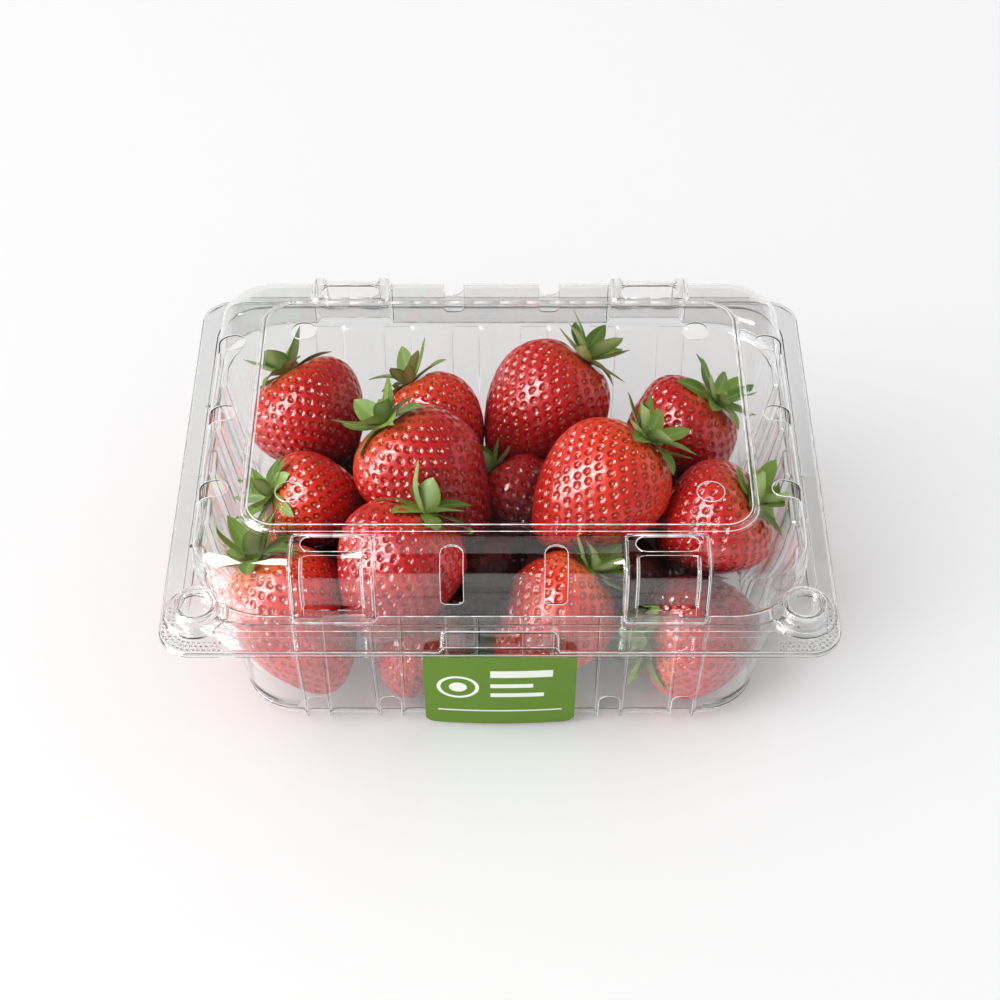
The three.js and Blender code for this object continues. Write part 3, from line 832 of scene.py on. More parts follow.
# place, calyx direction, half length, radius, tint from deep crimson (0) to bright red (1), pale shoulder
shownBerries = {
    "backLeft": ((-57.6, 29.9, 47.2), (-0.5, 0.6, 0.62), 17.5, 18.5, 0.45, 0.45),
    "backSmall": ((-19.3, 30, 41.8), (-0.46, 0.55, 0.7), 18.9, 15.5, 0.8, 0.3),
    "backLarge": ((11.9, 31.4, 49.4), (0.63, 0.41, 0.66), 23, 17.8, 0.4, 0.15),
    "middleLeft": ((-20.5, -2.3, 52.4), (-0.59, 0.43, 0.68), 23.9, 18.8, 0.4, 0.5),
    "middleLow": ((7.5, 4, 33), (-0.64, 0.6, 0.5), 17, 14.5, -0.1, 0.0),
    "middleRight": ((28.2, -6.1, 53.2), (0.69, 0.37, 0.62), 23.1, 17.6, 1.0, 0.35),
    "backRight": ((54.3, 26.5, 41.4), (0.64, 0.19, 0.75), 19.7, 16.9, 0.2, 0.3),
    "sideRight": ((62, -10.3, 42.9), (0.8, 0.08, 0.6), 17.7, 17.7, 0.45, 0.45),
    "sideLeft": ((-54.8, 0.5, 40.6), (-0.87, -0.2, 0.45), 17, 15.2, 0.85, 0.5),
    "frontLeft": ((-58.9, -34.8, 27.8), (-0.49, 0.48, 0.72), 23.5, 18.4, 0.8, 0.95),
    "frontMiddle": ((-30.1, -33.4, 46.6), (0.39, 0.52, 0.76), 21.6, 18.3, 0.35, 0.15),
    "frontCentre": ((15, -36, 29), (0.64, 0.4, 0.65), 20.8, 16.6, 0.95, 0.6),
    "frontRight": ((60.2, -34.3, 21.2), (-0.93, -0.33, 0.12), 19.2, 17.9, 0.4, 0.5),
    "frontUnder": ((-23.8, -32.8, 17), (0.3, 0.75, 0.5), 18.5, 15.8, 0.6, 0.2),
}
buriedBerries = [
    ((-36, 8, 16.8), (0.2, 0.9, 0.3), 18, 16),
    ((-53, 30, 17), (-0.5, 0.3, 0.8), 17, 15.3),
    ((-62, -3, 14.4), (-0.3, -0.2, 0.9), 15, 13.6),
    ((-24, 36, 16), (0.8, 0.5, -0.2), 17, 15.3),
    ((11, 31, 18), (-0.6, 0.7, 0.3), 18, 16.5),
    ((43, 35, 15.8), (0.4, 0.8, -0.3), 17, 15.3),
    ((31, 2, 16), (-0.7, -0.6, 0.4), 17, 15.3),
    ((61, 8, 14.6), (0.9, 0.2, 0.2), 15.5, 14),
    ((-3, -14, 21), (-0.5, 0.6, 0.6), 17, 15),
    ((38, -16, 20), (0.5, 0.3, 0.8), 17, 15),
    ((56, 26, 22), (0.3, 0.8, 0.4), 16, 14.3),
]
berrySettings = {
    "taper": 0.3,
    "dent": 2.2,
    "dentWidth": 0.36,
    "seedSpacing": 3.5,
    "jitter": 0.06,
    "lump": 0.022,
    "poleRing": 0.16,
    "poleSides": 20,
    # points round each seed: how many, how far in mm, how deep there
    "pitRings": [(1, 0.0, 0.7), (8, 0.78, 0.56), (12, 1.22, 0.24), (14, 1.4, 0.0)],
    "pitOval": (1.12, 0.95),
    "netBulge": 0.02,
    "ridgeAbove": 0.05,  # points less deep than this keep the smooth berry's normals
    "wallClear": 1.0,
}
coreSettings = {
    "size": (58.0, 17.0, 12.0),
    "low": 8.0,
    "high": 31.0,
    "lump": 0.7,
    "step": 5.0,
}
seedSettings = {
    "long": 0.66,
    "wide": 0.41,
    "high": 0.3,
    "sides": 6,
    "lift": 0.06,
}


def profile(a, half, radius, taper):
    s = berrySettings
    r = radius * np.sin(a) * (1 + taper * np.cos(a)) / (1 + taper * taper * 0.4)
    dent = s["dent"] * np.exp(-(r / (s["dentWidth"] * radius)) ** 2) * (np.cos(a) > 0)
    return r, half * np.cos(a) - dent


def onBerry(directions, shape):
    # unit directions, calyx at +Z, to places on the lumpy berry
    a = np.arccos(np.clip(directions[:, 2], -1, 1))
    r, h = profile(a, shape["half"], shape["radius"], shape["taper"])
    around = np.arctan2(directions[:, 1], directions[:, 0])
    field = np.zeros(len(a))
    for axis, rate, phase, amount in shape["lumps"]:
        field += amount * np.cos(rate * (directions @ axis) + phase)
    r = r * (1 + field)
    bend = shape["bend"] * (h / shape["half"]) ** 2 * shape["radius"]
    flat = shape["flat"]
    x, y = r * np.cos(around) * (1 + flat) + bend, r * np.sin(around) * (1 - flat)
    return np.column_stack((x, y, h * (1 + 0.5 * field)))


def stretch(a, shape):
    # millimetres per radian along a meridian and along a parallel
    e = 1e-3
    r0, h0 = profile(a - e, shape["half"], shape["radius"], shape["taper"])
    r1, h1 = profile(a + e, shape["half"], shape["radius"], shape["taper"])
    r, _ = profile(a, shape["half"], shape["radius"], shape["taper"])
    return np.hypot(r1 - r0, h1 - h0) / (2 * e), r / np.maximum(np.sin(a), 1e-3)


def stepped(directions, u, v, shape):
    # directions moved by u mm along the meridian and v mm along the parallel
    a = np.arccos(np.clip(directions[:, 2], -1, 1))
    around = np.arctan2(directions[:, 1], directions[:, 0])
    down = np.column_stack((np.cos(a) * np.cos(around), np.cos(a) * np.sin(around), -np.sin(a)))
    along = np.column_stack((-np.sin(around), np.cos(around), np.zeros(len(a))))
    perA, perP = stretch(a, shape)
    moved = directions + down * (u / perA)[:, None] + along * (v / perP)[:, None]
    return moved / np.linalg.norm(moved, axis=1)[:, None]


def seedDirections(shape, rng, spacing):
    s = berrySettings
    a = np.linspace(0, math.pi, 500)
    r, h = profile(a, shape["half"], shape["radius"], shape["taper"])
    strip = np.hypot(np.diff(r), np.diff(h)) * (r[1:] + r[:-1]) * math.pi
    total = np.concatenate(([0], np.cumsum(strip)))
    count = int(total[-1] / (spacing ** 2 * 0.866))
    order = np.arange(count)
    angle = np.interp((order + 0.5) / count * total[-1], total, a)
    around = order * math.pi * (3 - math.sqrt(5))
    found = np.column_stack((np.sin(angle) * np.cos(around), np.sin(angle) * np.sin(around), np.cos(angle)))
    found = stepped(found, *(rng.normal(0, s["jitter"] * spacing * 0.6, count) for _ in range(2)), shape)
    return found[found[:, 2] < math.cos(s["poleRing"] * 2.2)]


def flatten(directions):
    return directions[:, :2] / (1 - directions[:, 2])[:, None]


def triangles(directions):
    flat = [Vector((float(x), float(y))) for x, y in flatten(directions)]
    result = delaunay_2d_cdt(flat, [], [], 0, 1e-9)
    origin = [found[0] for found in result[3]]
    return [tuple(origin[i] for i in face) for face in result[2]]


def vertexNormals(points, faces):
    faces = np.asarray(faces)
    a, b, c = points[faces[:, 0]], points[faces[:, 1]], points[faces[:, 2]]
    flat = np.cross(b - a, c - a)
    normals = np.zeros_like(points)
    for k in range(3):
        np.add.at(normals, faces[:, k], flat)
    return normals / np.maximum(np.linalg.norm(normals, axis=1), 1e-9)[:, None]


def turnTo(direction, roll):
    # rotation whose Z is the given direction
    z = Vector(direction).normalized()
    side = z.cross(Vector((0.3, -1, 0.2))).normalized()
    up = z.cross(side)
    base = np.column_stack((side, up, z))
    c, s = math.cos(roll), math.sin(roll)
    return base @ np.array(((c, -s, 0), (s, c, 0), (0, 0, 1)))


def keepInPack(points, clear):
    # points beyond the wall, the floor or the lid are set back onto them
    s = tubSettings
    kept = points.copy()
    share = np.clip(kept[:, 2] / seam, 0, 1)
    low, high = s["foot"], s["mouth"]
    halfX, halfY, radius = (a + (b - a) * share for a, b in zip(low, high))
    above = softStep(kept[:, 2], 70, 79)
    halfX, halfY = halfX - clear - 2.2 * above, halfY - clear - 1.8 * above
    edgeX, edgeY = np.abs(kept[:, 0]) - (halfX - radius), np.abs(kept[:, 1]) - (halfY - radius)
    outX, outY = np.maximum(edgeX, 0), np.maximum(edgeY, 0)
    reach = np.hypot(outX, outY)
    back = np.where(reach > radius, radius / np.maximum(reach, 1e-6), 1)
    kept[:, 0] -= np.sign(kept[:, 0]) * outX * (1 - back)
    kept[:, 1] -= np.sign(kept[:, 1]) * outY * (1 - back)
    kept[:, 2] = np.clip(kept[:, 2], clear + 0.3, 79.6 - clear)
    return kept


def paintedDepthShade(points):
    # painted shade: 1 deep between the berries, 0 at the tub's wall and on top of the heap
    s = tubSettings
    share = np.clip(points[:, 2] / seam, 0, 1)
    halves = (s["foot"][i] + (s["mouth"][i] - s["foot"][i]) * share for i in (0, 1))
    toWall = np.minimum(*(half - np.abs(points[:, i]) for i, half in enumerate(halves)))
    return softStep(toWall, 8, 21) * (1 - softStep(points[:, 2], 34, 50))


def setValues(mesh, name, values):
    mesh.attributes.new(name, "FLOAT", "POINT").data.foreach_set("value", np.asarray(values, np.float32))


def makeBerry(name, place, direction, half, radius, tint, shoulder, material, rng, fine=True):
    # returns the flesh piece and what its seeds and calyx need
    s = berrySettings
    lumps = []
    for rate in (1.6, 2.2, 3.1, 4.5):
        axis = rng.normal(size=3)
        phase, high = rng.uniform(0, 6.28), s["lump"] * rng.uniform(0.5, 1.3)
        lumps.append((axis / np.linalg.norm(axis), rate * 1.5, phase, high))
    shape = {
        "half": half,
        "radius": radius,
        "taper": s["taper"] * rng.uniform(0.75, 1.25),
        "lumps": lumps,
        "bend": rng.uniform(-0.08, 0.08),
        "flat": rng.uniform(-0.04, 0.04),
    }
    seeds = seedDirections(shape, rng, s["seedSpacing"] * (1 if fine else 1.15))
    depthOfSeed = rng.uniform(0.8, 1.2, len(seeds))
    directions, depth, pitShare = [], [], []
    rings = s["pitRings"] if fine else s["pitRings"][:1] + s["pitRings"][2:3]
    for count, reach, deep in rings:
        start = rng.uniform(0, 6.28, len(seeds))
        for k in range(count):
            turn = start + k * 2 * math.pi / count
            long, wide = s["pitOval"]
            directions.append(stepped(seeds, reach * np.cos(turn) * long, reach * np.sin(turn) * wide, shape))
            depth.append(deep * depthOfSeed)
            pitShare.append(np.full(len(seeds), min(1.0, deep * 2)))
    between = np.array([f for f in triangles(seeds) if len(f) == 3])
    corners = seeds[between]
    middles = [corners.sum(axis=1)]
    for i, j in ((0, 1), (1, 2), (2, 0)):
        once = between[:, i] < between[:, j]
        middles.append((corners[:, i] + corners[:, j])[once])
    for k, found in enumerate(middles):
        found = found / np.linalg.norm(found, axis=1)[:, None]
        found = found[found[:, 2] < math.cos(s["poleRing"] * 1.5)]
        directions.append(found)
        depth.append(np.full(len(found), -s["netBulge"] if k == 0 else 0.0))
        pitShare.append(np.zeros(len(found)))
    turn = np.arange(s["poleSides"]) * 2 * math.pi / s["poleSides"]
    edge = s["poleRing"]
    r, h = math.sin(edge), math.cos(edge)
    directions.append(np.column_stack((r * np.cos(turn), r * np.sin(turn), np.full(len(turn), h))))
    depth.append(np.zeros(len(turn)))
    pitShare.append(np.zeros(len(turn)))
    directions, depth, pitShare = np.concatenate(directions), np.concatenate(depth), np.concatenate(pitShare)
    faces = [f[::-1] for f in triangles(directions)]
    first = len(directions) - len(turn)
    directions = np.vstack((directions, (0, 0, 1)))
    depth, pitShare = np.append(depth, 0), np.append(pitShare, 0)
    pole = len(directions) - 1
    faces += [(pole, first + i, first + (i + 1) % len(turn)) for i in range(len(turn))]
    rotation = turnTo(direction, rng.uniform(0, 6.28))
    points = onBerry(directions, shape) @ rotation.T + np.array(place)
    points = keepInPack(points, s["wallClear"])
    normals = vertexNormals(points, faces)
    points = points - normals * depth[:, None]
    piece = addMesh("berry_" + name, points, faces, material)
    bent = np.where((depth > s["ridgeAbove"])[:, None], vertexNormals(points, faces), normals)
    piece.data.normals_split_custom_set_from_vertices(bent.tolist())
    along = (1 - directions[:, 2]) / 2
    setValues(piece.data, "along", along)
    # painted shade: how far each point lies in a pit, which darkens the flesh there
    setValues(piece.data, "pitShade", pitShare)
    setValues(piece.data, "tint", np.full(len(points), tint))
    setValues(piece.data, "shoulder", np.full(len(points), shoulder))
    # painted shade: 'side' runs from the berry's left to its right, so the right side is coloured darker
    setValues(piece.data, "side", (points[:, 0] - place[0]) / radius)
    # painted shade: the flesh darkens towards near black deep in the heap
    setValues(piece.data, "deep", paintedDepthShade(points))
    count = len(seeds)
    down = stepped(seeds, np.full(count, 0.5), np.zeros(count), shape)
    lower = keepInPack(onBerry(down, shape) @ rotation.T + np.array(place), s["wallClear"])
    middle = keepInPack(onBerry(seeds, shape) @ rotation.T + np.array(place), s["wallClear"])
    return piece, {
        "places": points[:count] + normals[:count] * seedSettings["lift"],
        "normals": normals[:count],
        "down": lower - middle,
        "tint": np.full(count, tint),
        "calyx": onBerry(np.array([[0, 0, 1.0]]), shape)[0] @ rotation.T + np.array(place),
        "rotation": rotation,
        "radius": radius,
    }


def makeSeeds(grown, material, rng):
    s = seedSettings
    keys = ("places", "normals", "down", "tint")
    places, normals, down, tint = (np.concatenate([found[key] for found in grown]) for key in keys)
    down -= normals * np.sum(down * normals, axis=1)[:, None]
    down += rng.normal(0, 0.06, down.shape)
    down /= np.linalg.norm(down, axis=1)[:, None]
    side = np.cross(normals, down)
    turn = np.arange(s["sides"]) * 2 * math.pi / s["sides"]
    # a drop: blunt above, pointed towards the berry's tip
    form = [(-1.0, 0, 0)]
    for reach, wide in ((-0.55, 0.85), (0.15, 0.95)):
        form += [(reach, wide * math.cos(a), wide * math.sin(a)) for a in turn]
    form.append((1.0, 0, 0))
    form = np.array(form) * (s["long"], s["wide"], s["high"])
    size = rng.uniform(0.85, 1.15, len(places))
    points = places[:, None] + size[:, None, None] * (
        form[None, :, 0:1] * down[:, None] + form[None, :, 1:2] * side[:, None] + form[None, :, 2:3] * normals[:, None])
    n = s["sides"]
    one = []
    for i in range(n):
        j = (i + 1) % n
        one += [(0, 1 + j, 1 + i), (1 + i, 1 + j, 1 + n + j)]
        one += [(1 + i, 1 + n + j, 1 + n + i), (2 * n + 1, 1 + n + i, 1 + n + j)]
    one = np.array(one)
    faces = (one[None] + (np.arange(len(places)) * len(form))[:, None, None]).reshape(-1, 3)
    piece = addMesh("seeds", points.reshape(-1, 3), faces.tolist(), material)
    setValues(piece.data, "tint", np.repeat(tint, len(form)))
    # painted shade: seeds deep in the heap darken too
    setValues(piece.data, "deep", np.repeat(paintedDepthShade(places), len(form)))
    setValues(piece.data, "shade", np.repeat(rng.uniform(0, 1, len(places)), len(form)))
    return piece


# calyx: pointed leaves in two whorls, and a cut stalk

leafSettings = {
    "count": (10, 14),
    "length": (11.5, 16.0),
    "width": (5.0, 7.2),
    "thick": 0.34,
    "steps": 8,
    "fold": 0.14,
    "stalk": (1.15, 0.85),
    "stalkLength": (2.5, 5.0),
}


def makeLeaf(rng, turn, length, width, rise, curl, twist):
    # cross-sections of eight points from root to tip; rise and curl are elevations at root and tip
    s = leafSettings
    steps = s["steps"]
    x, z, y = 1.0, 0.0, 0.0
    sway = rng.uniform(-0.25, 0.25)
    wave, phase = rng.uniform(0.1, 0.35), rng.uniform(0, 6.28)
    points, along, across, top = [], [], [], []
    for k in range(steps + 1):
        t = k / steps
        elevation = rise + (curl - rise) * t * t * (3 - 2 * t)
        if k:
            x += math.cos(elevation) * length / steps
            z += math.sin(elevation) * length / steps
            y += sway * length / steps * t
        half = max(width / 2 * (t + 0.06) ** 0.6 * max(1 - t, 0) ** 0.72 * 2.3, 0.08)
        thick = s["thick"] * (1 - 0.55 * t)
        lean = twist * t
        for side, level in ((-1, 0), (-0.5, 1), (0, 1), (0.5, 1), (1, 0), (0.5, -1), (0, -1), (-0.5, -1)):
            out = side * half
            up = abs(side) * half * s["fold"] + level * thick / 2 - (0.16 if side == 0 else 0) * half * 0.4
            up += wave * half * 0.4 * math.sin(phase + 5 * t + 2 * side) * abs(side)
            sideways = out * math.cos(lean) - up * math.sin(lean)
            lift = out * math.sin(lean) + up * math.cos(lean)
            points.append((x - math.sin(elevation) * lift, y + sideways, z + math.cos(elevation) * lift))
            along.append(t)
            across.append(abs(side))
            top.append(1.0 if level >= 0 else 0.0)
    points = np.array(points)
    c, sn = math.cos(turn), math.sin(turn)
    x, y = points[:, 0], points[:, 1]
    points = np.column_stack((c * x - sn * y, sn * x + c * y, points[:, 2]))
    return points, ringFaces(8, steps + 1), (along, across, top)


def makeCalyx(grown, material, rng):
    s = leafSettings
    parts, values = [], [[], [], [], []]
    for found in grown:
        count = int(rng.integers(*s["count"]))
        for i in range(count):
            outer = i % 2 == 0
            turn = (i + rng.uniform(-0.22, 0.22)) * 2 * math.pi / count
            rise = math.radians(rng.uniform(2, 28) if outer else rng.uniform(28, 58))
            curl = math.radians(rng.uniform(-30, 40) if outer else rng.uniform(10, 80))
            size = found["radius"] / 17.5
            length, width = rng.uniform(*s["length"]) * size, rng.uniform(*s["width"]) * size
            leaf = makeLeaf(rng, turn, length, width, rise, curl, rng.uniform(-0.35, 0.35))
            points = leaf[0] + (0, 0, 0.5 if outer else 0.9)
            parts.append((keepInPack(points @ found["rotation"].T + found["calyx"], 0.8), leaf[1]))
            for held, new in zip(values, leaf[2]):
                held += new
            values[3] += [rng.uniform(0, 1)] * len(points)
        lean = rng.uniform(-0.35, 0.35, 2)
        length = rng.uniform(*s["stalkLength"])
        rings = []
        for k in range(5):
            t = k / 4
            r = s["stalk"][0] + (s["stalk"][1] - s["stalk"][0]) * math.sin(t * math.pi / 1.6)
            a = np.arange(8) * math.pi / 4
            high = t * length
            x, y = r * np.cos(a) + lean[0] * high, r * np.sin(a) + lean[1] * high
            rings.append(np.column_stack((x, y, np.full(8, high))))
        points = np.concatenate(rings)
        parts.append((keepInPack(points @ found["rotation"].T + found["calyx"], 0.8), ringFaces(8, 5)))
        for held, value in zip(values, (0.12, 0.1, 0.5, 0.5)):
            held += [value] * len(points)
    piece = addMesh("calyx_leaves", *joinPoints(parts), material, 50)
    for name, held in zip(("leafAlong", "leafAcross", "leafTop", "leafShade"), values):
        setValues(piece.data, name, held)
    return piece


fleshColours = {
    "crimson": (0.13, 0.001, 0.007, 1),
    "red": (0.62, 0.003, 0.004, 1),
    "orange": (0.85, 0.032, 0.003, 1),
    "mottle": (0.80, 0.04, 0.02, 1),
    "shoulder": (0.86, 0.20, 0.04, 1),
    # pit: the painted shade inside the pits
    "pitShade": (0.27, 0.002, 0.003, 1),
    # deep: the near-black of the painted shade inside the heap
    "deep": (0.012, 0.001, 0.001, 1),
}
fleshFinish = {
    "Roughness": 0.34,
    "Specular IOR Level": 0.25,
    "Coat Weight": 0.9,
    "Coat Roughness": 0.05,
}
seedColours = {
    "yellow": (0.85, 0.28, 0.04, 1),
    "orange": (0.70, 0.12, 0.015, 1),
    "ripe": (0.42, 0.02, 0.01, 1),
    # deep: the near-black of the painted shade inside the heap
    "deep": (0.03, 0.002, 0.001, 1),
}
leafColours = {
    "dark": (0.07, 0.16, 0.012, 1),
    "light": (0.25, 0.38, 0.05, 1),
    "patch": (0.22, 0.34, 0.06, 1),
    "vein": (0.32, 0.42, 0.12, 1),
    "root": (0.40, 0.44, 0.06, 1),
    "under": (0.38, 0.48, 0.22, 1),
}


def fleshMaterial():
    material, tree, shader = newMaterial("strawberry_flesh")
    colours = fleshColours
    tint, pitShade, along = attribute(tree, "tint"), attribute(tree, "pitShade"), attribute(tree, "along")
    patches = ramp(tree, noise(tree, 70, 3, 0.6), 0.3, 0.7)
    blend = plus(tree, tint, times(tree, minus(tree, patches, 0.5), 0.35))
    blend = plus(tree, blend, times(tree, minus(tree, 0.42, along), 1.0))
    # painted shade: the right side of each berry turns towards crimson
    blend = minus(tree, blend, times(tree, attribute(tree, "side"), 0.22))
    base = mixColour(tree, ramp(tree, blend, -0.3, 0.65), colours["crimson"], colours["red"])
    base = mixColour(tree, ramp(tree, blend, 0.5, 1.35), base, colours["orange"])
    base = mixColour(tree, ramp(tree, noise(tree, 420, 2), 0.4, 0.8, 0, 0.16), base, colours["mottle"])
    near = ramp(tree, plus(tree, along, times(tree, patches, 0.06)), 0.04, 0.22, 1, 0)
    pale = times(tree, near, attribute(tree, "shoulder"))
    base = mixColour(tree, pale, base, colours["shoulder"])
    # painted shade: the pits are coloured a deeper red
    base = mixColour(tree, ramp(tree, pitShade, 0.1, 0.8, 0, 0.62), base, colours["pitShade"])
    # painted shade: darker deep in the heap, between the berries
    base = mixColour(tree, times(tree, attribute(tree, "deep"), 0.96), base, colours["deep"])
    tree.links.new(base, shader.inputs["Base Color"])
    setFinish(shader, fleshFinish)
    addBump(tree, shader, 1500, 0.05, 0.0003)
    return material


def seedMaterial():
    material, tree, shader = newMaterial("strawberry_seed")
    shade, tint, colours = attribute(tree, "shade"), attribute(tree, "tint"), seedColours
    yellow = mixColour(tree, shade, colours["yellow"], colours["orange"])
    ripe = ramp(tree, plus(tree, tint, times(tree, shade, 0.4)), 0.1, 1.2, 0.85, 0.1)
    red = mixColour(tree, ripe, yellow, colours["ripe"])
    # painted shade: seeds darker deep in the heap
    red = mixColour(tree, attribute(tree, "deep"), red, colours["deep"])
    tree.links.new(red, shader.inputs["Base Color"])
    setFinish(shader, {"Roughness": 0.32, "Coat Weight": 0.2})
    return material


def leafMaterial():
    material, tree, shader = newMaterial("calyx_leaf")
    shade, across, top, along = (attribute(tree, "leaf" + n) for n in ("Shade", "Across", "Top", "Along"))
    patches, colours = noise(tree, 300, 3, 0.6), leafColours
    green = mixColour(tree, shade, colours["dark"], colours["light"])
    green = mixColour(tree, ramp(tree, patches, 0.4, 0.8, 0, 0.5), green, colours["patch"])
    green = mixColour(tree, ramp(tree, across, 0.0, 0.25, 0.6, 0), green, colours["vein"])
    green = mixColour(tree, ramp(tree, along, 0.0, 0.38, 0.85, 0), green, colours["root"])
    under = mixColour(tree, 0.7, green, colours["under"])
    tree.links.new(mixColour(tree, top, under, green), shader.inputs["Base Color"])
    setFinish(shader, {"Roughness": 0.5, "Specular IOR Level": 0.3})
    bump = node(tree, "Bump", {"Height": patches, "Strength": 0.35, "Distance": 0.0004})
    tree.links.new(bump.outputs["Normal"], shader.inputs["Normal"])
    return material


def makeCore():
    # what lies deepest in the heap, out of sight but for gaps; its near-black red is painted shade
    s = coreSettings
    marksX = list(np.arange(-40, 41, s["step"]))
    rings = []
    levels = np.linspace(s["low"], s["high"], 7)
    for z, inset in [(s["low"] - 0.1, 8.0)] + [(z, 0.0) for z in levels] + [(s["high"] + 0.1, 8.0)]:
        path = rectanglePath(*(v - inset for v in s["size"]), marksX, [0.0], 6)
        wave = s["lump"] * (np.sin(path[:, 0] * 0.35 + z * 0.5) + np.cos(path[:, 1] * 0.5 - z * 0.4) - 2)
        moved = path[:, :2] + path[:, 2:4] * wave[:, None]
        rings.append(np.column_stack((moved, np.full(len(path), z))))
    deep, tree, shader = newMaterial("strawberry_painted_shade")
    # painted shade: near-black red with a little noise
    shade = mixColour(tree, noise(tree, 90, 3), (0.020, 0.001, 0.001, 1), (0.09, 0.002, 0.003, 1))
    tree.links.new(shade, shader.inputs["Base Color"])
    shader.inputs["Roughness"].default_value = 0.4
    core = addMesh("heap_core", np.concatenate(rings), ringFaces(len(rings[0]), len(rings)), deep, 60)
    return core


def makeHeap():
    rng = np.random.default_rng(41)
    flesh = fleshMaterial()
    pieces, grown = [], []
    for name, values in shownBerries.items():
        piece, found = makeBerry(name, *values, flesh, rng)
        pieces.append(piece)
        grown.append(found)
    shown = list(grown)
    for i, values in enumerate(buriedBerries):
        piece, found = makeBerry("buried_%d" % (i + 1), *values, 0.35, 0.3, flesh, rng, False)
        pieces.append(piece)
        grown.append(found)
    print("berries", sum(len(p.data.polygons) for p in pieces))
    pieces.append(makeCore())
    pieces.append(makeSeeds(grown, seedMaterial(), rng))
    print("seeds", len(pieces[-1].data.polygons))
    pieces.append(makeCalyx(shown, leafMaterial(), rng))
    print("leaves", len(pieces[-1].data.polygons))
    for piece in pieces:
        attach(piece, "tub")
        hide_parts("strawberries")


makeHeap()


# label: a curved green sheet with bars and dots

labelSettings = {
    "halfX": 22.0,
    "low": 1.6,
    "high": 39.6,
    "corner": 3.0,
    "bulge": 1.1,
    "thickness": 0.34,
    "off": 1.63,
}


def labelMaterial():
    # a pale ring with a dot on the left, three bars of unlike lengths on the right, a fine line below
    material, tree, shader = newMaterial("label_print")
    s = labelSettings
    place = node(tree, "SeparateXYZ", {"Vector": node(tree, "TexCoord").outputs["Object"]})
    x = times(tree, place.outputs["X"], 1000.0)
    z = times(tree, place.outputs["Z"], 1000.0)

    def band(value, centre, half):
        away = maths(tree, "ABSOLUTE", minus(tree, value, centre))
        return ramp(tree, away, half - 0.08, half + 0.08, 1, 0)

    def bar(centreX, halfX, centreZ, halfZ):
        return times(tree, band(x, centreX, halfX), band(z, centreZ, halfZ))

    dx, dz = minus(tree, x, -12.2), minus(tree, z, 22.6)
    away = maths(tree, "SQRT", plus(tree, times(tree, dx, dx), times(tree, dz, dz)))
    mark = plus(tree, band(away, 5.6, 0.55), band(away, 0.0, 2.6))
    for shape in ((6.2, 9.0, 30.2, 1.9), (3.4, 6.2, 23.6, 1.1), (5.0, 7.8, 18.4, 1.1), (0.0, 18.2, 9.2, 0.35)):
        mark = plus(tree, mark, bar(*shape))
    cloudy = ramp(tree, noise(tree, 90, 2), 0.3, 0.7, 0, 0.12)
    green = mixColour(tree, cloudy, (0.105, 0.225, 0.004, 1), (0.14, 0.27, 0.012, 1))
    mark = maths(tree, "MINIMUM", mark, 1.0)
    tree.links.new(mixColour(tree, mark, green, (0.87, 0.9, 0.82, 1)), shader.inputs["Base Color"])
    setFinish(shader, {"Roughness": 0.42, "Specular IOR Level": 0.25})
    addBump(tree, shader, 900, 0.1, 0.0002)
    return material


def makeLabel():
    s = labelSettings
    corner = [s["corner"] * (1 - math.cos(a)) for a in np.linspace(0, math.pi / 2, 7)]
    rows = [s["low"] + c for c in corner] + list(np.linspace(s["low"] + 3, s["high"] - 3, 14))[1:-1]
    rows += [s["high"] - c for c in reversed(corner)]
    columns = 33
    points, faces = [], []
    for z in rows:
        inside = max(0.0, s["corner"] - min(z - s["low"], s["high"] - z))
        wide = s["halfX"] - s["corner"] + math.sqrt(max(s["corner"] ** 2 - inside ** 2, 0.0))
        wall = mixed(tubSettings["foot"], tubSettings["mouth"], z / seam)[1]
        for u in np.linspace(-1, 1, columns):
            x = u * wide
            points.append((x, -(wall + s["off"] + s["bulge"] * (1 - (x / s["halfX"]) ** 2)), z))
    for k in range(len(rows) - 1):
        for i in range(columns - 1):
            a = k * columns + i
            faces.append((a, a + 1, a + 1 + columns, a + columns))
    label = addMesh("label_sheet", points, faces, labelMaterial())
    sheet = label.modifiers.new("sheet", "SOLIDIFY")
    sheet.thickness = s["thickness"] * mm
    sheet.offset = 1
    applyModifiers(label)
    smooth(label, 40)
    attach(label, "tub")
    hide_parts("label")


makeLabel()
print("label")


# living hinge: a thin strip that wraps the back edges of both rims

hingeSettings = {
    "halfLength": 79.6,
    "thick": 0.14,
    "line": [(70.35, 58.6), (70.9, 58.52), (71.6, 58.4), (72.2, 58.42), (72.65, 58.62), (72.87, 59.0),
             (72.65, 59.4), (72.2, 59.6), (71.6, 59.66), (71.1, 59.6), (70.7, 59.5)],
    "ribs": 14,
}


def makeHinge(material):
    s = hingeSettings
    line = np.array(s["line"])
    tangent = np.gradient(line, axis=0)
    tangent /= np.linalg.norm(tangent, axis=1)[:, None]
    normal = np.column_stack((tangent[:, 1], -tangent[:, 0]))
    loop = np.concatenate((line + normal * s["thick"], (line - normal * s["thick"])[::-1]))
    stations = np.linspace(-s["halfLength"], s["halfLength"], s["ribs"] * 4 + 1)
    points = np.concatenate([np.column_stack((np.full(len(loop), x), loop)) for x in stations])
    strip = addMesh("hinge_strip", points, ringFaces(len(loop), len(stations)), material, 45)
    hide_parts("lid")
    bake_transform(strip)


makeHinge(plastic)


# grip dots: small domes on the front corners of the lid's rim

gripSettings = {
    "radius": 0.42,
    "high": 0.1,
    "step": 1.45,
    "halfX": 92.2,
    "front": -71.9,
    "cornerRadius": 8.0,
    "inwards": 3,
    "reach": 8.0,
}


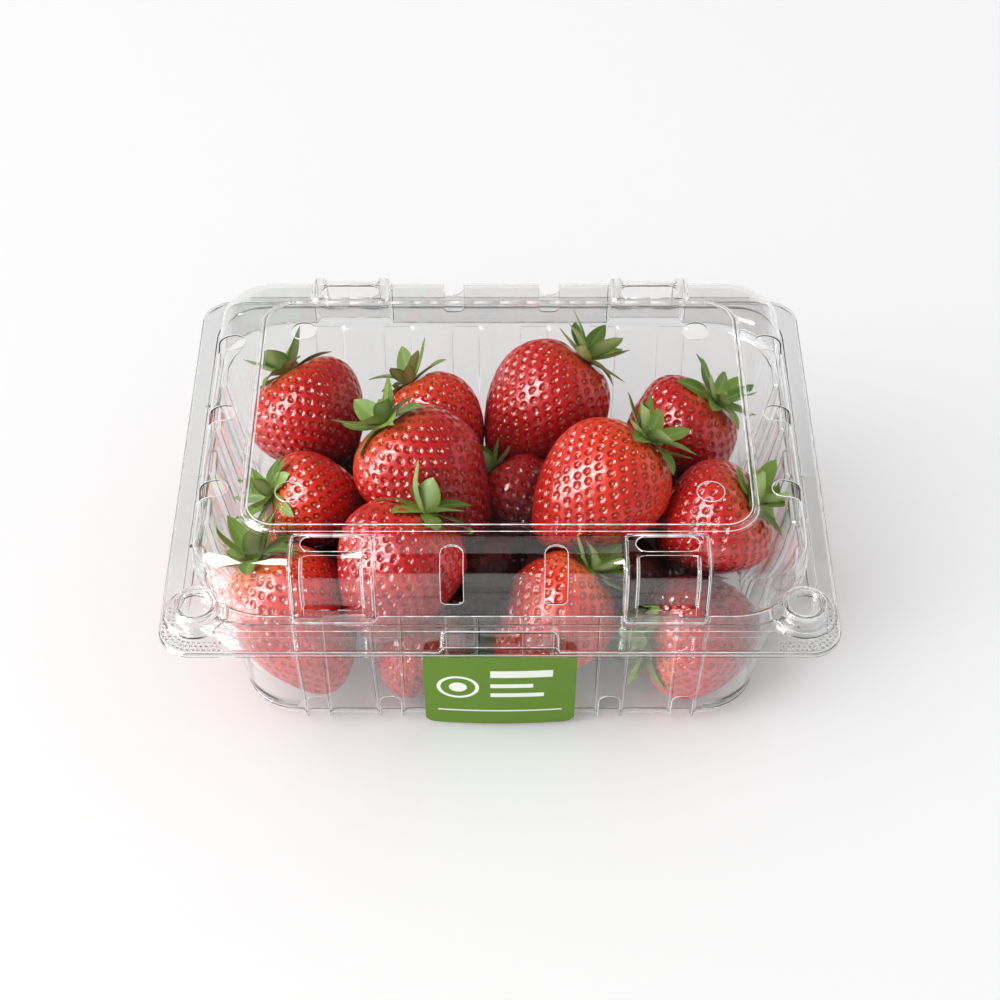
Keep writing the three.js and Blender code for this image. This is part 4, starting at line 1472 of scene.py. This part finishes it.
def makeGrip(material):
    s = gripSettings
    r, high = s["radius"], s["high"]
    outline = [(0.0, -0.2), (r * 0.95, -0.1), (r, 0.0), (r * 0.72, high * 0.7), (0.0, high)]
    dome, domeFaces = lathe(outline, 8)
    parts = []
    for row in range(s["inwards"]):
        radius = s["cornerRadius"] - row * 1.25
        halfX, front = s["halfX"] - row * 1.25, s["front"] + row * 1.25
        cx, cy = halfX - radius, front + radius
        arc = radius * math.pi / 2
        total = arc + 2 * s["reach"]
        for k in range(int(total / s["step"])):
            d = (k + 0.5 * (row % 2)) * s["step"]
            if d < s["reach"]:
                x, y = cx - s["reach"] + d, front
            elif d < s["reach"] + arc:
                a = (d - s["reach"]) / radius - math.pi / 2
                x, y = cx + radius * math.cos(a), cy + radius * math.sin(a)
            else:
                x, y = halfX, cy + d - s["reach"] - arc
            for side in (-1, 1):
                parts.append((np.array(dome) + (side * x, y, lidSettings["rimTop"]), domeFaces))
    grip = addMesh("grip_dots", *joinPoints(parts), material)
    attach(grip, "lid")
    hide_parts("lid")


makeGrip(plastic)
print("hinge and grip")

# floor, light and world

stageSettings = {
    "half": 15000,
    "finish": {"Base Color": (0.88, 0.88, 0.88, 1), "Roughness": 0.6},
    "room": 0.77,  # what matt surfaces see
    "clear": 0.88,  # what is seen through the film
    "insideFilm": 0.3,
    "leastMirrored": 0.02,
}


def makeStage():
    s = stageSettings
    material, _, shader = newMaterial("pale_floor")
    setFinish(shader, s["finish"])
    corners = [(x * s["half"], y * s["half"], 0) for x, y in ((-1, -1), (1, -1), (1, 1), (-1, 1))]
    floor = addMesh("floor", corners, [(0, 1, 2, 3)], material)
    floor.location.z = -0.0002
    world = bpy.data.worlds.new("studio")
    bpy.context.scene.world = world
    world.use_nodes = True
    tree = world.node_tree
    # matt surfaces see an even pale room; the film mirrors a dark one with bright sides and a low band of
    # light behind; the fruit a dark one
    direction = node(tree, "SeparateXYZ", {"Vector": node(tree, "TexCoord").outputs["Generated"]})
    x, y, z = (direction.outputs[i] for i in range(3))
    behind = times(tree, ramp(tree, z, 0.738, 0.742), ramp(tree, z, 0.79, 0.83, 1, 0))
    behind = times(tree, behind, ramp(tree, y, 0.1, 0.4, 0, 0.6))
    sides = ramp(tree, maths(tree, "ABSOLUTE", x), 0.4, 0.65, 0, 0.9)
    ray = node(tree, "LightPath").outputs
    outside = maths(tree, "LESS_THAN", ray["Transmission Depth"], 2.5)
    low = ramp(tree, minus(tree, z, times(tree, y, 0.3)), 0.22, 0.36, 0.85, 0)
    film = times(tree, maths(tree, "MAXIMUM", maths(tree, "MAXIMUM", behind, sides), low), outside)
    # light that is mirrored twice has run along inside the film and comes out bright at its edges
    twice = maths(tree, "GREATER_THAN", ray["Glossy Depth"], 1.5)
    film = maths(tree, "MAXIMUM", film, times(tree, twice, s["insideFilm"]))
    mirrored = maths(tree, "MINIMUM", ray["Glossy Depth"], 1.0)
    clear = times(tree, minus(tree, 1.0, mirrored), s["clear"])
    shiny = plus(tree, times(tree, mirrored, plus(tree, film, s["leastMirrored"])), clear)
    matt = ray["Is Diffuse Ray"]
    others = times(tree, minus(tree, 1.0, matt), shiny)
    bright = plus(tree, times(tree, matt, s["room"]), others)
    tree.links.new(bright, tree.nodes["Background"].inputs["Strength"])
    tree.nodes["Background"].inputs["Color"].default_value = (1, 1, 1, 1)
    world.cycles.sampling_method = "NONE"


lightSettings = {
    "key": {"place": (-3.2, -1.25, 2.35), "size": (2.2, 5.2), "power": 132, "matt": True},
    "sheen": {"place": (-1.04, -0.36, 0.74), "size": (0.82, 2.0), "power": 66, "matt": False},
    "fill": {"place": (1.12, 0.2, 0.42), "size": (1.2, 1.1), "power": 3.5, "matt": False},
}


def makeLights():
    for name, s in lightSettings.items():
        data = bpy.data.lights.new(name, "AREA")
        data.shape = "RECTANGLE"
        data.size, data.size_y = s["size"]
        data.energy = s["power"]
        light = bpy.data.objects.new(name, data)
        light.location = s["place"]
        light.visible_diffuse = s["matt"]
        aim = Vector((0, 0, 0.04)) - light.location
        light.rotation_euler = aim.to_track_quat("-Z", "Y").to_euler()
        bpy.context.scene.collection.objects.link(light)


makeStage()
makeLights()
view = bpy.context.scene.view_settings
view.view_transform = "Standard"
bounces = {"max_bounces": 14, "transmission_bounces": 13, "transparent_max_bounces": 16, "diffuse_bounces": 2,
           "glossy_bounces": 4}
for name, value in bounces.items():
    setattr(bpy.context.scene.cycles, name, value)
print("stage and lights")

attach(tub, "tub")
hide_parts("tub")
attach(lid, "lid")
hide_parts("lid")
